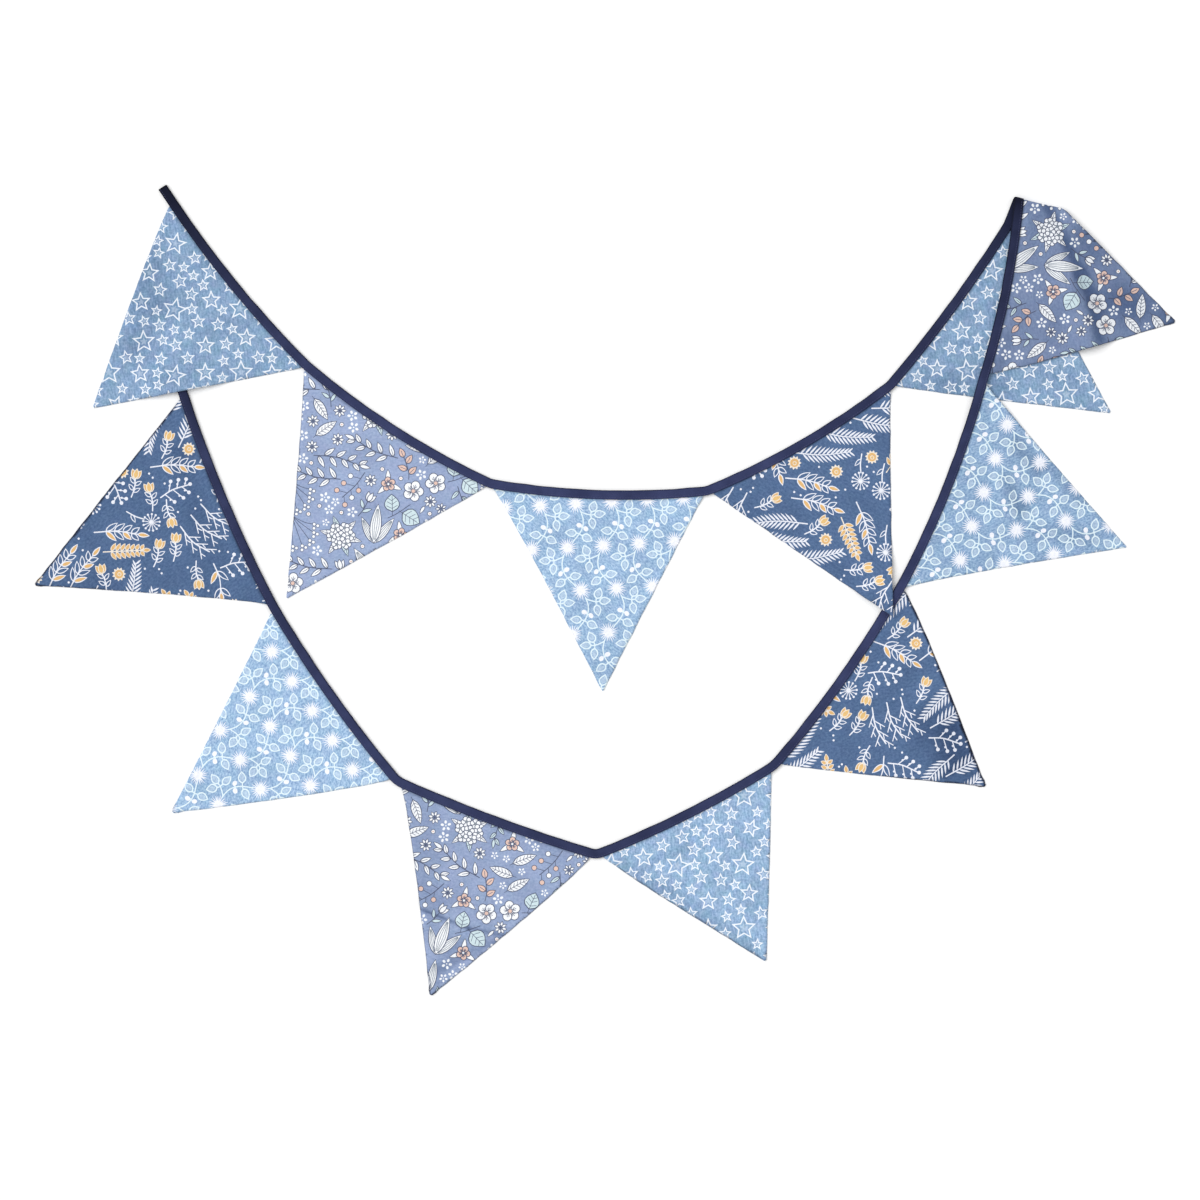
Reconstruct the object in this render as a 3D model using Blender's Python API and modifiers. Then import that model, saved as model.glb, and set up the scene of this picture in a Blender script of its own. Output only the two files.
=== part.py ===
# Fabric bunting: twelve pointed cloth flags sewn into one folded bias tape.
# It lies flat on a surface and is folded back over itself once, next to the sixth flag.
# Every piece is first laid out flat along one route, and then folded over the crease.
# +Z is up, +X runs along the swags, and the origin is the middle of the underside.

import math
from collections import namedtuple

import bmesh
import bpy
from mathutils import Vector, geometry

MM = 0.001

# Cloth and tape
CLOTH = 1.0 * MM  # thickness of a flag's two sewn layers, and of one wall of the tape
SLIP = 0.3 * MM  # room between a flag and each wall of the tape
TAPE_WIDTH = 10.6 * MM
TUCK = 7.5 * MM  # depth to which a flag's top is sewn into the tape
TAIL = 22.5 * MM  # bare tape beyond the first and the last flag
RAMP = 14.0 * MM  # length over which a flag comes down from the tape to the surface

# The fold, and cloth that lies over other pieces
FOLD_RADIUS = 2.8 * MM  # of the cloth's middle where the bunting turns over
FOLD_STEPS = 6
FOLD_SETTLES = 90.0 * MM  # length over which the upper layer comes down from the fold
CREASE_AT = 32.2 * MM  # along the sixth flag's top, where the tape turns over
CREASE_DIRECTION = -12.7  # of the crease on the surface
TAPE_DIRECTION = -94.9  # of the tape where it crosses the crease
CLEARANCE = 2.0 * MM  # between a sheet and the piece that it lies over
FULL_HEIGHT = 3.0 * MM  # distance past an edge at which a sheet over it is still full height
REACH = 55.0 * MM  # further length over which that sheet comes down

# One row for each flag, in the order in which the tape meets them, in millimetres and degrees.
# gap and turn: the bare tape before the flag, and how far it bends away from the flags there.
# top and bend: the flag's sewn edge and its bow. drop and lean: the point, from the edge's middle.
# tip: the width of the blunt point. start_bow and end_bow: how far the two free sides bulge.
Flag = namedtuple("Flag", "name print gap turn top bend drop lean tip start_bow end_bow columns rows")
FLAGS = (
    Flag("flag_01", "star", 0.0, 0.0, 236.5, 11.0, 211.0, 3.2, 2.5, 3.0, 0.8, 8, 10),
    Flag("flag_02", "floral", 3.0, 4.8, 246.0, 15.0, 227.3, 1.9, 2.5, -1.8, 1.8, 8, 8),
    Flag("flag_03", "vine", 9.0, 15.9, 239.5, 15.0, 223.7, 12.5, 2.5, -2.8, -0.4, 8, 8),
    Flag("flag_04", "botanical", 11.0, 17.0, 234.0, 15.0, 220.8, -10.1, 3.0, 0.0, -1.5, 8, 12),
    Flag("flag_05", "star", 7.5, 12.1, 219.5, 8.0, 211.8, 10.1, 4.0, 1.5, 1.5, 8, 8),
    Flag("flag_06", "floral", 6.0, 9.9, 234.0, 14.0, 194.5, 22.4, 5.0, 0.0, 3.0, 16, 14),
    Flag("flag_07", "vine", 13.5, -1.8, 248.0, 13.0, 214.5, -11.5, 2.5, -1.0, -3.0, 12, 8),
    Flag("flag_08", "botanical", 4.0, 1.6, 241.0, 11.0, 200.8, 7.2, 4.0, 4.6, 1.8, 8, 8),
    Flag("flag_09", "star", 15.5, 17.6, 213.0, 10.0, 185.6, -5.4, 4.5, 1.0, 2.5, 8, 8),
    Flag("flag_10", "floral", 16.0, 38.4, 227.5, 7.0, 206.5, 0.9, 4.5, 4.4, -3.2, 12, 14),
    Flag("flag_11", "vine", 17.0, 26.4, 232.0, 9.0, 219.9, -4.1, 5.0, 3.8, -0.8, 8, 8),
    Flag("flag_12", "botanical", 10.0, 3.4, 253.0, 9.0, 231.3, -3.2, 4.0, -2.6, 0.5, 8, 8),
)

# Soft ridges in a flag, from one place to another, as distances along its top and below it
Ridge = namedtuple("Ridge", "flag from_along from_down to_along to_down height half_width")
RIDGES = (
    Ridge("flag_06", 75.0, 54.0, 190.0, 112.0, 6.0, 32.0),
    Ridge("flag_10", 156.0, 114.0, 91.0, 115.0, 2.5, 18.0),
)

# Base colours, linear
COLOURS = {
    "star": (0.27, 0.40, 0.63),
    "floral": (0.31, 0.37, 0.62),
    "vine": (0.33, 0.48, 0.77),
    "botanical": (0.09, 0.16, 0.36),
    "tape": (0.03, 0.03, 0.10),
}

BOW_SCALE = 2.6  # 1 over the largest value of sqrt(x) * (1 - x), which is at a third
RAMP_ROWS = 3
SIDE_STEPS = 8  # in a flag's outline
DEGREES_A_STEP = 6.0  # in the bare tape between two flags
WALL_MIDDLE = CLOTH + SLIP  # from the tape's middle to the middle of each of its walls
TAPE_LEVEL = WALL_MIDDLE + CLOTH / 2
FLAG_LEVEL = CLOTH / 2
HALF_TURN = math.pi * FOLD_RADIUS / 2
ALONG = Vector((math.cos(math.radians(CREASE_DIRECTION)), math.sin(math.radians(CREASE_DIRECTION))))
INWARD = Vector((ALONG.y, -ALONG.x))
OVER_CLOTH = CLOTH + CLEARANCE
OVER_TAPE = 2 * TAPE_LEVEL + CLEARANCE

Arc = namedtuple("Arc", "at length x y heading turn steps")


def ease(share):
    # 0 to 1 without a kink at either end
    share = min(max(share, 0.0), 1.0)
    return share * share * (3.0 - 2.0 * share)


def clear_scene():
    for obj in list(bpy.data.objects):
        bpy.data.objects.remove(obj, do_unlink=True)


def along_arc(arc, distance):
    # Place and heading after a distance along an arc that turns to the right
    turned = arc.turn * distance / arc.length
    chord = distance * (math.sin(turned / 2) / (turned / 2) if abs(turned) > 1e-9 else 1.0)
    heading = arc.heading - turned / 2
    place = Vector((arc.x + chord * math.cos(heading), arc.y + chord * math.sin(heading)))
    return place, arc.heading - turned


def lay_route():
    # The tape's open edge laid out flat: its arcs in order, and each flag's own arc
    pieces = [(None, TAIL, 0.0, 1)]
    for flag in FLAGS:
        if flag.gap:
            steps = max(2, round(abs(flag.turn) / DEGREES_A_STEP))
            pieces.append((None, flag.gap * MM, flag.turn, steps))
        pieces.append((flag.name, flag.top * MM, flag.bend, flag.columns))
    pieces.append((None, TAIL, 0.0, 1))

    arcs, owners = [], {}
    place, heading, at = Vector((0.0, 0.0)), 0.0, 0.0
    for owner, length, turn, steps in pieces:
        arc = Arc(at, length, place.x, place.y, heading, math.radians(turn), steps)
        arcs.append(arc)
        if owner:
            owners[owner] = arc
        place, heading = along_arc(arc, length)
        at += length

    # Turned and moved so that the tape crosses the middle of the crease at the origin
    place, heading = along_arc(owners["flag_06"], CREASE_AT)
    turn = math.radians(TAPE_DIRECTION) - heading
    moved = {}
    for arc in arcs:
        x = (arc.x - place.x) * math.cos(turn) - (arc.y - place.y) * math.sin(turn)
        y = (arc.x - place.x) * math.sin(turn) + (arc.y - place.y) * math.cos(turn)
        moved[arc.at] = arc._replace(x=x, y=y, heading=arc.heading + turn)
    return list(moved.values()), {name: moved[arc.at] for name, arc in owners.items()}


ARCS, FLAG_ARCS = lay_route()


def beside(arc, distance, sideways):
    # A place that far along the arc and that far to its left, where the flags are
    place, heading = along_arc(arc, distance)
    return place + sideways * Vector((-math.sin(heading), math.cos(heading)))


def fold_plan(place):
    # Where a flat place lies, seen from above, after the fold
    across = place.dot(INWARD)
    if abs(across) < HALF_TURN:
        inside = -FOLD_RADIUS * math.cos(across / FOLD_RADIUS)
    else:
        inside = abs(across) - HALF_TURN
    return place.dot(ALONG) * ALONG + inside * INWARD


def local_axes(flag):
    # The flag's first corner, the direction of its top, and the direction to its point
    arc = FLAG_ARCS[flag.name]
    first = beside(arc, 0.0, 0.0)
    last = beside(arc, arc.length, 0.0)
    along = (last - first).normalized()
    return first, last, along, Vector((-along.y, along.x))


def on_flag(flag, share, down):
    # A place on the flag, by its share of the width and its distance below the tape
    arc = FLAG_ARCS[flag.name]
    if down <= 0.0:
        return beside(arc, share * arc.length, down)
    first, last, along, below = local_axes(flag)
    fall = down / (flag.drop * MM)
    middle = (first + last) / 2
    point = middle + flag.lean * MM * along + flag.drop * MM * below
    point += (share - 0.5) * flag.tip * MM * along
    bow = (share * flag.end_bow - (1.0 - share) * flag.start_bow) * MM
    bow *= BOW_SCALE * math.sqrt(fall) * (1.0 - fall)
    return beside(arc, share * arc.length, 0.0).lerp(point, fall) + bow * along


def flag_outline(flag):
    # The flag seen from above, after the fold
    downs = [flag.drop * MM * i / SIDE_STEPS for i in range(SIDE_STEPS + 1)]
    top = [on_flag(flag, i / flag.columns, -TUCK) for i in range(flag.columns + 1)]
    sides = [on_flag(flag, 1.0, down) for down in downs]
    sides += [on_flag(flag, 0.0, down) for down in downs[::-1]]
    return [fold_plan(place) for place in top + sides]


def tape_outline(arcs):
    # The tape's strip along some of its arcs, seen from above
    near = [beside(arc, arc.length * i / arc.steps, 0.0) for arc in arcs for i in range(arc.steps + 1)]
    far = [beside(arc, arc.length * i / arc.steps, -TAPE_WIDTH) for arc in arcs for i in range(arc.steps + 1)]
    return [fold_plan(place) for place in near + far[::-1]]


def cover(place, outline):
    # 1 over the outline and close to it, easing to 0 further away
    inside = False
    nearest = 1e9
    for a, b in zip(outline, outline[1:] + outline[:1]):
        if (a.y > place.y) != (b.y > place.y):
            if place.x < a.x + (place.y - a.y) / (b.y - a.y) * (b.x - a.x):
                inside = not inside
        share = geometry.intersect_point_line(place, a, b)[1]
        nearest = min(nearest, (place - a.lerp(b, min(max(share, 0.0), 1.0))).length)
    if inside:
        return 1.0
    return ease(1.0 - (nearest - FULL_HEIGHT) / REACH)


FLAG = {flag.name: flag for flag in FLAGS}
UNDER_THE_FOLD = flag_outline(FLAG["flag_05"])
LAST_ARC = ARCS.index(FLAG_ARCS["flag_12"])
EIGHTH_ARC = ARCS.index(FLAG_ARCS["flag_08"])

# What the first and the fourth flag lie over
LIES_OVER = {
    "flag_01": tape_outline(ARCS[LAST_ARC + 1 :]),
    "flag_04": tape_outline(ARCS[EIGHTH_ARC - 1 : EIGHTH_ARC + 1]),
}


def fold_over(place, level, offset):
    # Takes a flat place to where it lies after the fold.
    # level is the height of the sheet's middle, and offset how far above that middle the point is.
    across = place.dot(INWARD)
    along = place.dot(ALONG) * ALONG
    if across <= -HALF_TURN:
        plan = along + (-across - HALF_TURN) * INWARD
        return Vector((plan.x, plan.y, level - offset))
    if across < HALF_TURN:
        angle = (across + HALF_TURN) / FOLD_RADIUS
        plan = along - (FOLD_RADIUS + offset) * math.sin(angle) * INWARD
        height = level + FOLD_RADIUS - (FOLD_RADIUS + offset) * math.cos(angle)
        return Vector((plan.x, plan.y, height))
    inside = across - HALF_TURN
    plan = along + inside * INWARD
    rest = OVER_CLOTH * cover(plan, UNDER_THE_FOLD)
    rise = rest + (2 * FOLD_RADIUS - rest) * ease(1.0 - inside / FOLD_SETTLES)
    return Vector((plan.x, plan.y, level + rise + offset))


def ridge_height(flag, place):
    # How far the flag's soft ridges raise it at a flat place
    first, last, along, below = local_axes(flag)
    here = Vector(((place - first).dot(along), (place - first).dot(below)))
    height = 0.0
    for ridge in RIDGES:
        if ridge.flag != flag.name:
            continue
        start = Vector((ridge.from_along, ridge.from_down)) * MM
        end = Vector((ridge.to_along, ridge.to_down)) * MM
        share = min(max((here - start).dot(end - start) / (end - start).length_squared, 0.0), 1.0)
        away = (here - start.lerp(end, share)).length / (ridge.half_width * MM)
        height += ridge.height * MM * ease(1.0 - away)
    return height


def cut_at_the_crease(bm):
    # Edges along the fold, so that the mesh can turn over there in even steps
    for i in range(FOLD_STEPS + 1):
        place = INWARD * (2 * HALF_TURN * i / FOLD_STEPS - HALF_TURN)
        bmesh.ops.bisect_plane(
            bm,
            geom=bm.verts[:] + bm.edges[:] + bm.faces[:],
            plane_co=place.to_3d(),
            plane_no=INWARD.to_3d(),
        )


def sheet_grid(columns, rows):
    # A flat grid whose x and y are the numbers of its column and row
    bm = bmesh.new()
    bmesh.ops.create_grid(bm, x_segments=columns, y_segments=rows, size=0.5)
    for vert in bm.verts:
        vert.co = Vector((round((vert.co.x + 0.5) * columns), round((vert.co.y + 0.5) * rows), 0.0))
    return bm


def cloth_material(name, colour):
    material = bpy.data.materials.new(name)
    material.use_nodes = True
    shader = material.node_tree.nodes["Principled BSDF"]
    shader.inputs["Base Color"].default_value = (*colour, 1.0)
    shader.inputs["Roughness"].default_value = 0.9
    shader.inputs["Metallic"].default_value = 0.0
    material.diffuse_color = (*colour, 1.0)
    return material


def add_sheet(name, bm, material, collection, parent):
    # The mesh is the middle of the cloth, and Solidify gives it its thickness
    mesh = bpy.data.meshes.new(name)
    bm.to_mesh(mesh)
    bm.free()
    mesh.shade_smooth()
    mesh.materials.append(material)
    obj = bpy.data.objects.new(name, mesh)
    collection.objects.link(obj)
    obj.parent = parent
    thickness = obj.modifiers.new("Cloth thickness", "SOLIDIFY")
    thickness.thickness = CLOTH
    thickness.offset = 0.0
    return obj


def add_flag(flag, material, collection, parent):
    # Rows of points: in the tape, on the way down to the surface, and over the flag's length
    body = (flag.drop * MM - RAMP) / flag.rows
    downs = [-TUCK] + [RAMP * i / RAMP_ROWS for i in range(RAMP_ROWS)]
    downs += [RAMP + body * i for i in range(flag.rows + 1)]

    bm = sheet_grid(flag.columns, len(downs) - 1)
    for vert in bm.verts:
        down = downs[round(vert.co.y)]
        place = on_flag(flag, vert.co.x / flag.columns, down)
        level = FLAG_LEVEL + (TAPE_LEVEL - FLAG_LEVEL) * ease(1.0 - down / RAMP)
        if down > 0.0:
            level += ridge_height(flag, place)
        if flag.name in LIES_OVER:
            level += (OVER_TAPE - FLAG_LEVEL + CLOTH / 2) * cover(fold_plan(place), LIES_OVER[flag.name])
        vert.co = Vector((place.x, place.y, level))
    if flag.name == "flag_06":
        cut_at_the_crease(bm)
    for vert in bm.verts:
        vert.co = fold_over(vert.co.to_2d(), vert.co.z, 0.0)
    return add_sheet(flag.name, bm, material, collection, parent)


def tape_section():
    # The tape's folded section, from one open edge round the fold to the other, and its height
    bend_at = WALL_MIDDLE + CLOTH / 2 - TAPE_WIDTH
    section = [(0.0, WALL_MIDDLE), (bend_at, WALL_MIDDLE)]
    for angle in (45.0, 90.0, 135.0):
        turn = math.radians(angle)
        section.append((bend_at - WALL_MIDDLE * math.sin(turn), WALL_MIDDLE * math.cos(turn)))
    return section + [(bend_at, -WALL_MIDDLE), (0.0, -WALL_MIDDLE)]


def add_tape(material, collection, parent):
    stations = [(ARCS[0], 0.0)]
    for arc in ARCS:
        stations += [(arc, arc.length * (i + 1) / arc.steps) for i in range(arc.steps)]
    section = tape_section()

    bm = sheet_grid(len(stations) - 1, len(section) - 1)
    for vert in bm.verts:
        arc, distance = stations[round(vert.co.x)]
        sideways, offset = section[round(vert.co.y)]
        vert.co = beside(arc, distance, sideways).to_3d() + Vector((0.0, 0.0, offset))
    cut_at_the_crease(bm)
    for vert in bm.verts:
        vert.co = fold_over(vert.co.to_2d(), TAPE_LEVEL, vert.co.z)
    return add_sheet("bias_tape", bm, material, collection, parent)


def centre_on_origin(parent, pieces):
    # The origin is the middle of the whole outline, on the surface
    bpy.context.view_layer.update()
    graph = bpy.context.evaluated_depsgraph_get()
    corners = [Vector(corner) for piece in pieces for corner in piece.evaluated_get(graph).bound_box]
    for axis in range(2):
        sides = [corner[axis] for corner in corners]
        parent.location[axis] = -(min(sides) + max(sides)) / 2


def main():
    clear_scene()
    collection = bpy.data.collections.new("fabric_bunting")
    bpy.context.scene.collection.children.link(collection)
    layout = bpy.data.objects.new("layout", None)
    collection.objects.link(layout)

    pieces = [add_tape(cloth_material("bias_tape", COLOURS["tape"]), collection, layout)]
    for flag in FLAGS:
        material = cloth_material(flag.name + "_" + flag.print, COLOURS[flag.print])
        pieces.append(add_flag(flag, material, collection, layout))
    centre_on_origin(layout, pieces)


main()
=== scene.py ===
import math
import random

import bpy
import numpy as np
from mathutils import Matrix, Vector, geometry


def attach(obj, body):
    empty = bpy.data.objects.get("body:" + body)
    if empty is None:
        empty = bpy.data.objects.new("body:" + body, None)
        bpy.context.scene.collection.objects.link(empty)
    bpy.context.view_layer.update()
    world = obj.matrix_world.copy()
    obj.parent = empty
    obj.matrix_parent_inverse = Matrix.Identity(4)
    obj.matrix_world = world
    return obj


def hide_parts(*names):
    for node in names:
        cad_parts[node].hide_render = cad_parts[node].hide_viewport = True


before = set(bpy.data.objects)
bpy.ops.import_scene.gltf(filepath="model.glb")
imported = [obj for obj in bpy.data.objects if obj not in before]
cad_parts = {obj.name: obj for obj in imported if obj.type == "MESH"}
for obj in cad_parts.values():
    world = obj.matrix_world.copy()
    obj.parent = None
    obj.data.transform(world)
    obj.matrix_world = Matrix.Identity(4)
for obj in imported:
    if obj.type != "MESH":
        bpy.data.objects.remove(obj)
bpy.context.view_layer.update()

mm = 0.001
print("loaded the packed bunting")

# where everything lies, in millimetres and degrees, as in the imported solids

layout = {
    "tail": 22.5,  # bare tape beyond the first and the last flag
    "tapeWidth": 10.6,
    "tuck": 7.5,  # depth of a flag's top inside the tape
    "ramp": 14.0,  # length over which a flag comes down from the tape to the surface
    "wallMiddle": 1.3,  # from the tape's middle to the middle of each wall
    "tapeLevel": 1.8,
    "flagLevel": 0.5,
    "foldRadius": 2.8,
    "foldSettles": 90.0,  # length over which the upper layer comes down from the fold
    "creaseAt": 32.2,  # along the sixth flag's top
    "creaseDirection": -12.7,
    "tapeDirection": -94.9,  # of the tape where it crosses the crease
    "overCloth": 3.0,  # how high the upper layer lies on the lower one
    "overTape": 5.6,  # and a flag on the tape
    "fullHeight": 3.0,  # beyond an outline that lies under a layer
    "reach": 55.0,  # over which the layer then comes down
    "bowScale": 2.6,
    "shift": (473.6034, 438.3883),  # from the crease to the middle of the whole outline
}

# gap and turn are the bare tape before a flag and its bend, top and bend the stretch that holds the flag,
# drop and lean where its point is, tip the width of the point, and the bows how far its sides curve out
flagColumns = "name print gap turn top bend drop lean tip startBow endBow".split()
flagRows = (
    ("flag_01", "star", 0.0, 0.0, 236.5, 11.0, 211.0, 3.2, 2.5, 3.0, 0.8),
    ("flag_02", "floral", 3.0, 4.8, 246.0, 15.0, 227.3, 1.9, 2.5, -1.8, 1.8),
    ("flag_03", "vine", 9.0, 15.9, 239.5, 15.0, 223.7, 12.5, 2.5, -2.8, -0.4),
    ("flag_04", "botanical", 11.0, 17.0, 234.0, 15.0, 220.8, -10.1, 3.0, 0.0, -1.5),
    ("flag_05", "star", 7.5, 12.1, 219.5, 8.0, 211.8, 10.1, 4.0, 1.5, 1.5),
    ("flag_06", "floral", 6.0, 9.9, 234.0, 14.0, 194.5, 22.4, 5.0, 0.0, 3.0),
    ("flag_07", "vine", 13.5, -1.8, 248.0, 13.0, 214.5, -11.5, 2.5, -1.0, -3.0),
    ("flag_08", "botanical", 4.0, 1.6, 241.0, 11.0, 200.8, 7.2, 4.0, 4.6, 1.8),
    ("flag_09", "star", 15.5, 17.6, 213.0, 10.0, 185.6, -5.4, 4.5, 1.0, 2.5),
    ("flag_10", "floral", 16.0, 38.4, 227.5, 7.0, 206.5, 0.9, 4.5, 4.4, -3.2),
    ("flag_11", "vine", 17.0, 26.4, 232.0, 9.0, 219.9, -4.1, 5.0, 3.8, -0.8),
    ("flag_12", "botanical", 10.0, 3.4, 253.0, 9.0, 231.3, -3.2, 4.0, -2.6, 0.5),
)
flags = [dict(zip(flagColumns, row)) for row in flagRows]

halfTurn = math.pi * layout["foldRadius"] / 2
creaseAngle = math.radians(layout["creaseDirection"])
creaseAlong = np.array([math.cos(creaseAngle), math.sin(creaseAngle)])
creaseInward = np.array([creaseAlong[1], -creaseAlong[0]])


def ease(share):
    share = np.clip(share, 0.0, 1.0)
    return share * share * (3.0 - 2.0 * share)


def alongArc(arc, distance):
    # place and heading after a distance along an arc that turns to the right
    turned = arc["turn"] * distance / arc["length"]
    chord = distance * np.sinc(turned / 2 / math.pi)
    heading = arc["heading"] - turned / 2
    place = np.stack([arc["x"] + chord * np.cos(heading), arc["y"] + chord * np.sin(heading)], -1)
    return place, arc["heading"] - turned


def beside(arc, distance, sideways):
    distance, sideways = np.broadcast_arrays(np.asarray(distance, float), np.asarray(sideways, float))
    place, heading = alongArc(arc, distance)
    return place + sideways[..., None] * np.stack([-np.sin(heading), np.cos(heading)], -1)


def layRoute():
    pieces = [(None, layout["tail"], 0.0)]
    for flag in flags:
        if flag["gap"]:
            pieces.append((None, flag["gap"], flag["turn"]))
        pieces.append((flag["name"], flag["top"], flag["bend"]))
    pieces.append((None, layout["tail"], 0.0))

    arcs, owners, place, heading, at = [], {}, np.zeros(2), 0.0, 0.0
    for owner, length, turn in pieces:
        arcs.append({"at": at, "length": length, "x": place[0], "y": place[1],
                     "heading": heading, "turn": math.radians(turn)})
        if owner:
            owners[owner] = arcs[-1]
        place, heading = alongArc(arcs[-1], length)
        at += length

    # turned and moved so that the tape crosses the middle of the crease at the origin
    place, heading = alongArc(owners["flag_06"], layout["creaseAt"])
    turn = math.radians(layout["tapeDirection"]) - heading
    for arc in arcs:
        x, y = arc["x"] - place[0], arc["y"] - place[1]
        arc["x"] = x * math.cos(turn) - y * math.sin(turn)
        arc["y"] = x * math.sin(turn) + y * math.cos(turn)
        arc["heading"] += turn
    return arcs, owners


arcs, flagArcs = layRoute()
tapeLength = arcs[-1]["at"] + arcs[-1]["length"]


def foldPlan(place):
    # where a flat place lies, seen from above, after the fold
    across = place @ creaseInward
    bent = -layout["foldRadius"] * np.cos(across / layout["foldRadius"])
    inside = np.where(np.abs(across) < halfTurn, bent, np.abs(across) - halfTurn)
    return (place @ creaseAlong)[..., None] * creaseAlong + inside[..., None] * creaseInward


def localAxes(flag):
    # the flag's first corner, the direction of its top, and the direction to its point
    arc = flagArcs[flag["name"]]
    first, last = beside(arc, 0.0, 0.0), beside(arc, arc["length"], 0.0)
    along = (last - first) / np.linalg.norm(last - first)
    return first, last, along, np.array([-along[1], along[0]])


def toFlat(flag, points):
    # from the flag's own measures, along its top and below it, to the flat route
    first, last, along, below = localAxes(flag)
    return first + points[:, :1] * along + points[:, 1:] * below


def toLocal(flag, places):
    first, last, along, below = localAxes(flag)
    return np.stack([(places - first) @ along, (places - first) @ below], -1)


def fromAbove(flag, place):
    # the flat place of a point seen from above; the flags before the sixth lie turned over
    place = np.asarray(place, float) - layout["shift"]
    inside = place @ creaseInward
    across = -inside - halfTurn if flags.index(flag) < 5 else inside + halfTurn
    return (place @ creaseAlong) * creaseAlong + across * creaseInward


def onFlag(flag, share, down):
    # a flat place on the flag, by its share of the width and its distance below the tape
    arc = flagArcs[flag["name"]]
    share, down = np.broadcast_arrays(np.asarray(share, float), np.asarray(down, float))
    first, last, along, below = localAxes(flag)
    fall = np.clip(down / flag["drop"], 0.0, 1.0)[..., None]
    point = (first + last) / 2 + flag["lean"] * along + flag["drop"] * below
    point = point + ((share - 0.5) * flag["tip"])[..., None] * along
    bow = (share * flag["endBow"] - (1.0 - share) * flag["startBow"])[..., None]
    bow = bow * layout["bowScale"] * np.sqrt(fall) * (1.0 - fall)
    top = beside(arc, share * arc["length"], np.minimum(down, 0.0))
    return top * (1.0 - fall) + point * fall + bow * along


def softNoise(x, y, size, seed, waves=7):
    # smooth hills and hollows about that far across, from -1 to 1
    pick = random.Random(seed)
    total = np.zeros_like(np.asarray(x, float))
    for i in range(waves):
        turn, reach, start = pick.uniform(0, math.tau), pick.uniform(0.7, 1.5), pick.uniform(0, math.tau)
        total = total + np.sin((x * math.cos(turn) + y * math.sin(turn)) * math.tau / (size * reach) + start)
    return total / waves * 1.6


def segmentDistance(points, loop, closed=True):
    # distance from each point to the nearest side of a polygon
    a = loop if closed else loop[:-1]
    b = np.roll(loop, -1, 0) if closed else loop[1:]
    best = np.full(len(points), 1e9)
    for i in range(0, len(points), 2000):
        p = points[i:i + 2000, None]
        share = np.clip(((p - a) * (b - a)).sum(-1) / np.maximum(((b - a) ** 2).sum(-1), 1e-12), 0, 1)
        best[i:i + 2000] = np.linalg.norm(p - (a + share[..., None] * (b - a)), axis=-1).min(1)
    return best


def isInside(points, loop):
    inside = np.zeros(len(points), bool)
    for a, b in zip(loop, np.roll(loop, -1, 0)):
        crosses = (a[1] > points[:, 1]) != (b[1] > points[:, 1])
        if crosses.any():
            at = a[0] + (points[:, 1] - a[1]) / (b[1] - a[1] if b[1] != a[1] else 1.0) * (b[0] - a[0])
            inside ^= crosses & (points[:, 0] < at)
    return inside


def cover(places, outline):
    # 1 over the outline and close to it, easing to 0 further away
    away = segmentDistance(places, outline) - layout["fullHeight"]
    return np.where(isInside(places, outline), 1.0, ease(1.0 - away / layout["reach"]))


def sideOutline(flag):
    # the flag's flat outline without waves: its tucked top, one side, the point, the other side
    shares, downs = np.linspace(0, 1, 40), np.linspace(0, flag["drop"], 60)
    top = onFlag(flag, shares, -layout["tuck"])
    return np.concatenate([top, onFlag(flag, 1.0, downs), onFlag(flag, 0.0, downs[::-1])])


def tapeStrip(some):
    near = [beside(arc, np.linspace(0, arc["length"], 12), 0.0) for arc in some]
    far = [beside(arc, np.linspace(0, arc["length"], 12), -layout["tapeWidth"]) for arc in some]
    return foldPlan(np.concatenate(near + [np.concatenate(far)[::-1]]))


arcNumber = {name: arcs.index(arc) for name, arc in flagArcs.items()}
underTheFold = foldPlan(sideOutline(flags[4]))
liesOver = {
    "flag_01": tapeStrip(arcs[arcNumber["flag_12"] + 1:]),
    "flag_04": tapeStrip(arcs[arcNumber["flag_08"] - 1:arcNumber["flag_08"] + 1]),
}


def foldOver(place, level, offset):
    # takes flat places to where they lie after the fold, in metres.
    # level is the height of the sheet's middle, and offset how far above that middle the point is
    across = place @ creaseInward
    along = (place @ creaseAlong)[:, None] * creaseAlong
    radius = layout["foldRadius"]
    angle = (across + halfTurn) / radius
    inside = across - halfTurn
    upper = along + np.maximum(inside, 0.0)[:, None] * creaseInward
    rest = np.zeros(len(place))
    near = across >= halfTurn
    if near.any():
        rest[near] = layout["overCloth"] * cover(upper[near], underTheFold)
    rise = rest + (2 * radius - rest) * ease(1.0 - inside / layout["foldSettles"])

    lowPlan = along + (-across - halfTurn)[:, None] * creaseInward
    bentPlan = along - ((radius + offset) * np.sin(angle))[:, None] * creaseInward
    low, bent = across <= -halfTurn, np.abs(across) < halfTurn
    plan = np.where(low[:, None], lowPlan, np.where(bent[:, None], bentPlan, upper))
    bentHeight = level + radius - (radius + offset) * np.cos(angle)
    height = np.where(low, level - offset, np.where(bent, bentHeight, level + rise + offset))
    return np.column_stack([plan + layout["shift"], height]) * mm


def facesUp(place):
    # 1 where the cloth lies face up after the fold, 0 where it is turned over
    return ease(((place @ creaseInward) + halfTurn) / (2 * halfTurn))


# colours and nodes

def linear(hexColour):
    # sRGB hex to linear
    parts = [int(hexColour[i:i + 2], 16) / 255 for i in (1, 3, 5)]
    return tuple(c / 12.92 if c <= 0.04045 else ((c + 0.055) / 1.055) ** 2.4 for c in parts) + (1.0,)


def liveSocket(sockets, name):
    # a mix node has sockets of one name for each kind of data, and only one set is in use
    return next(socket for socket in sockets if socket.name == name and socket.enabled)


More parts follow.
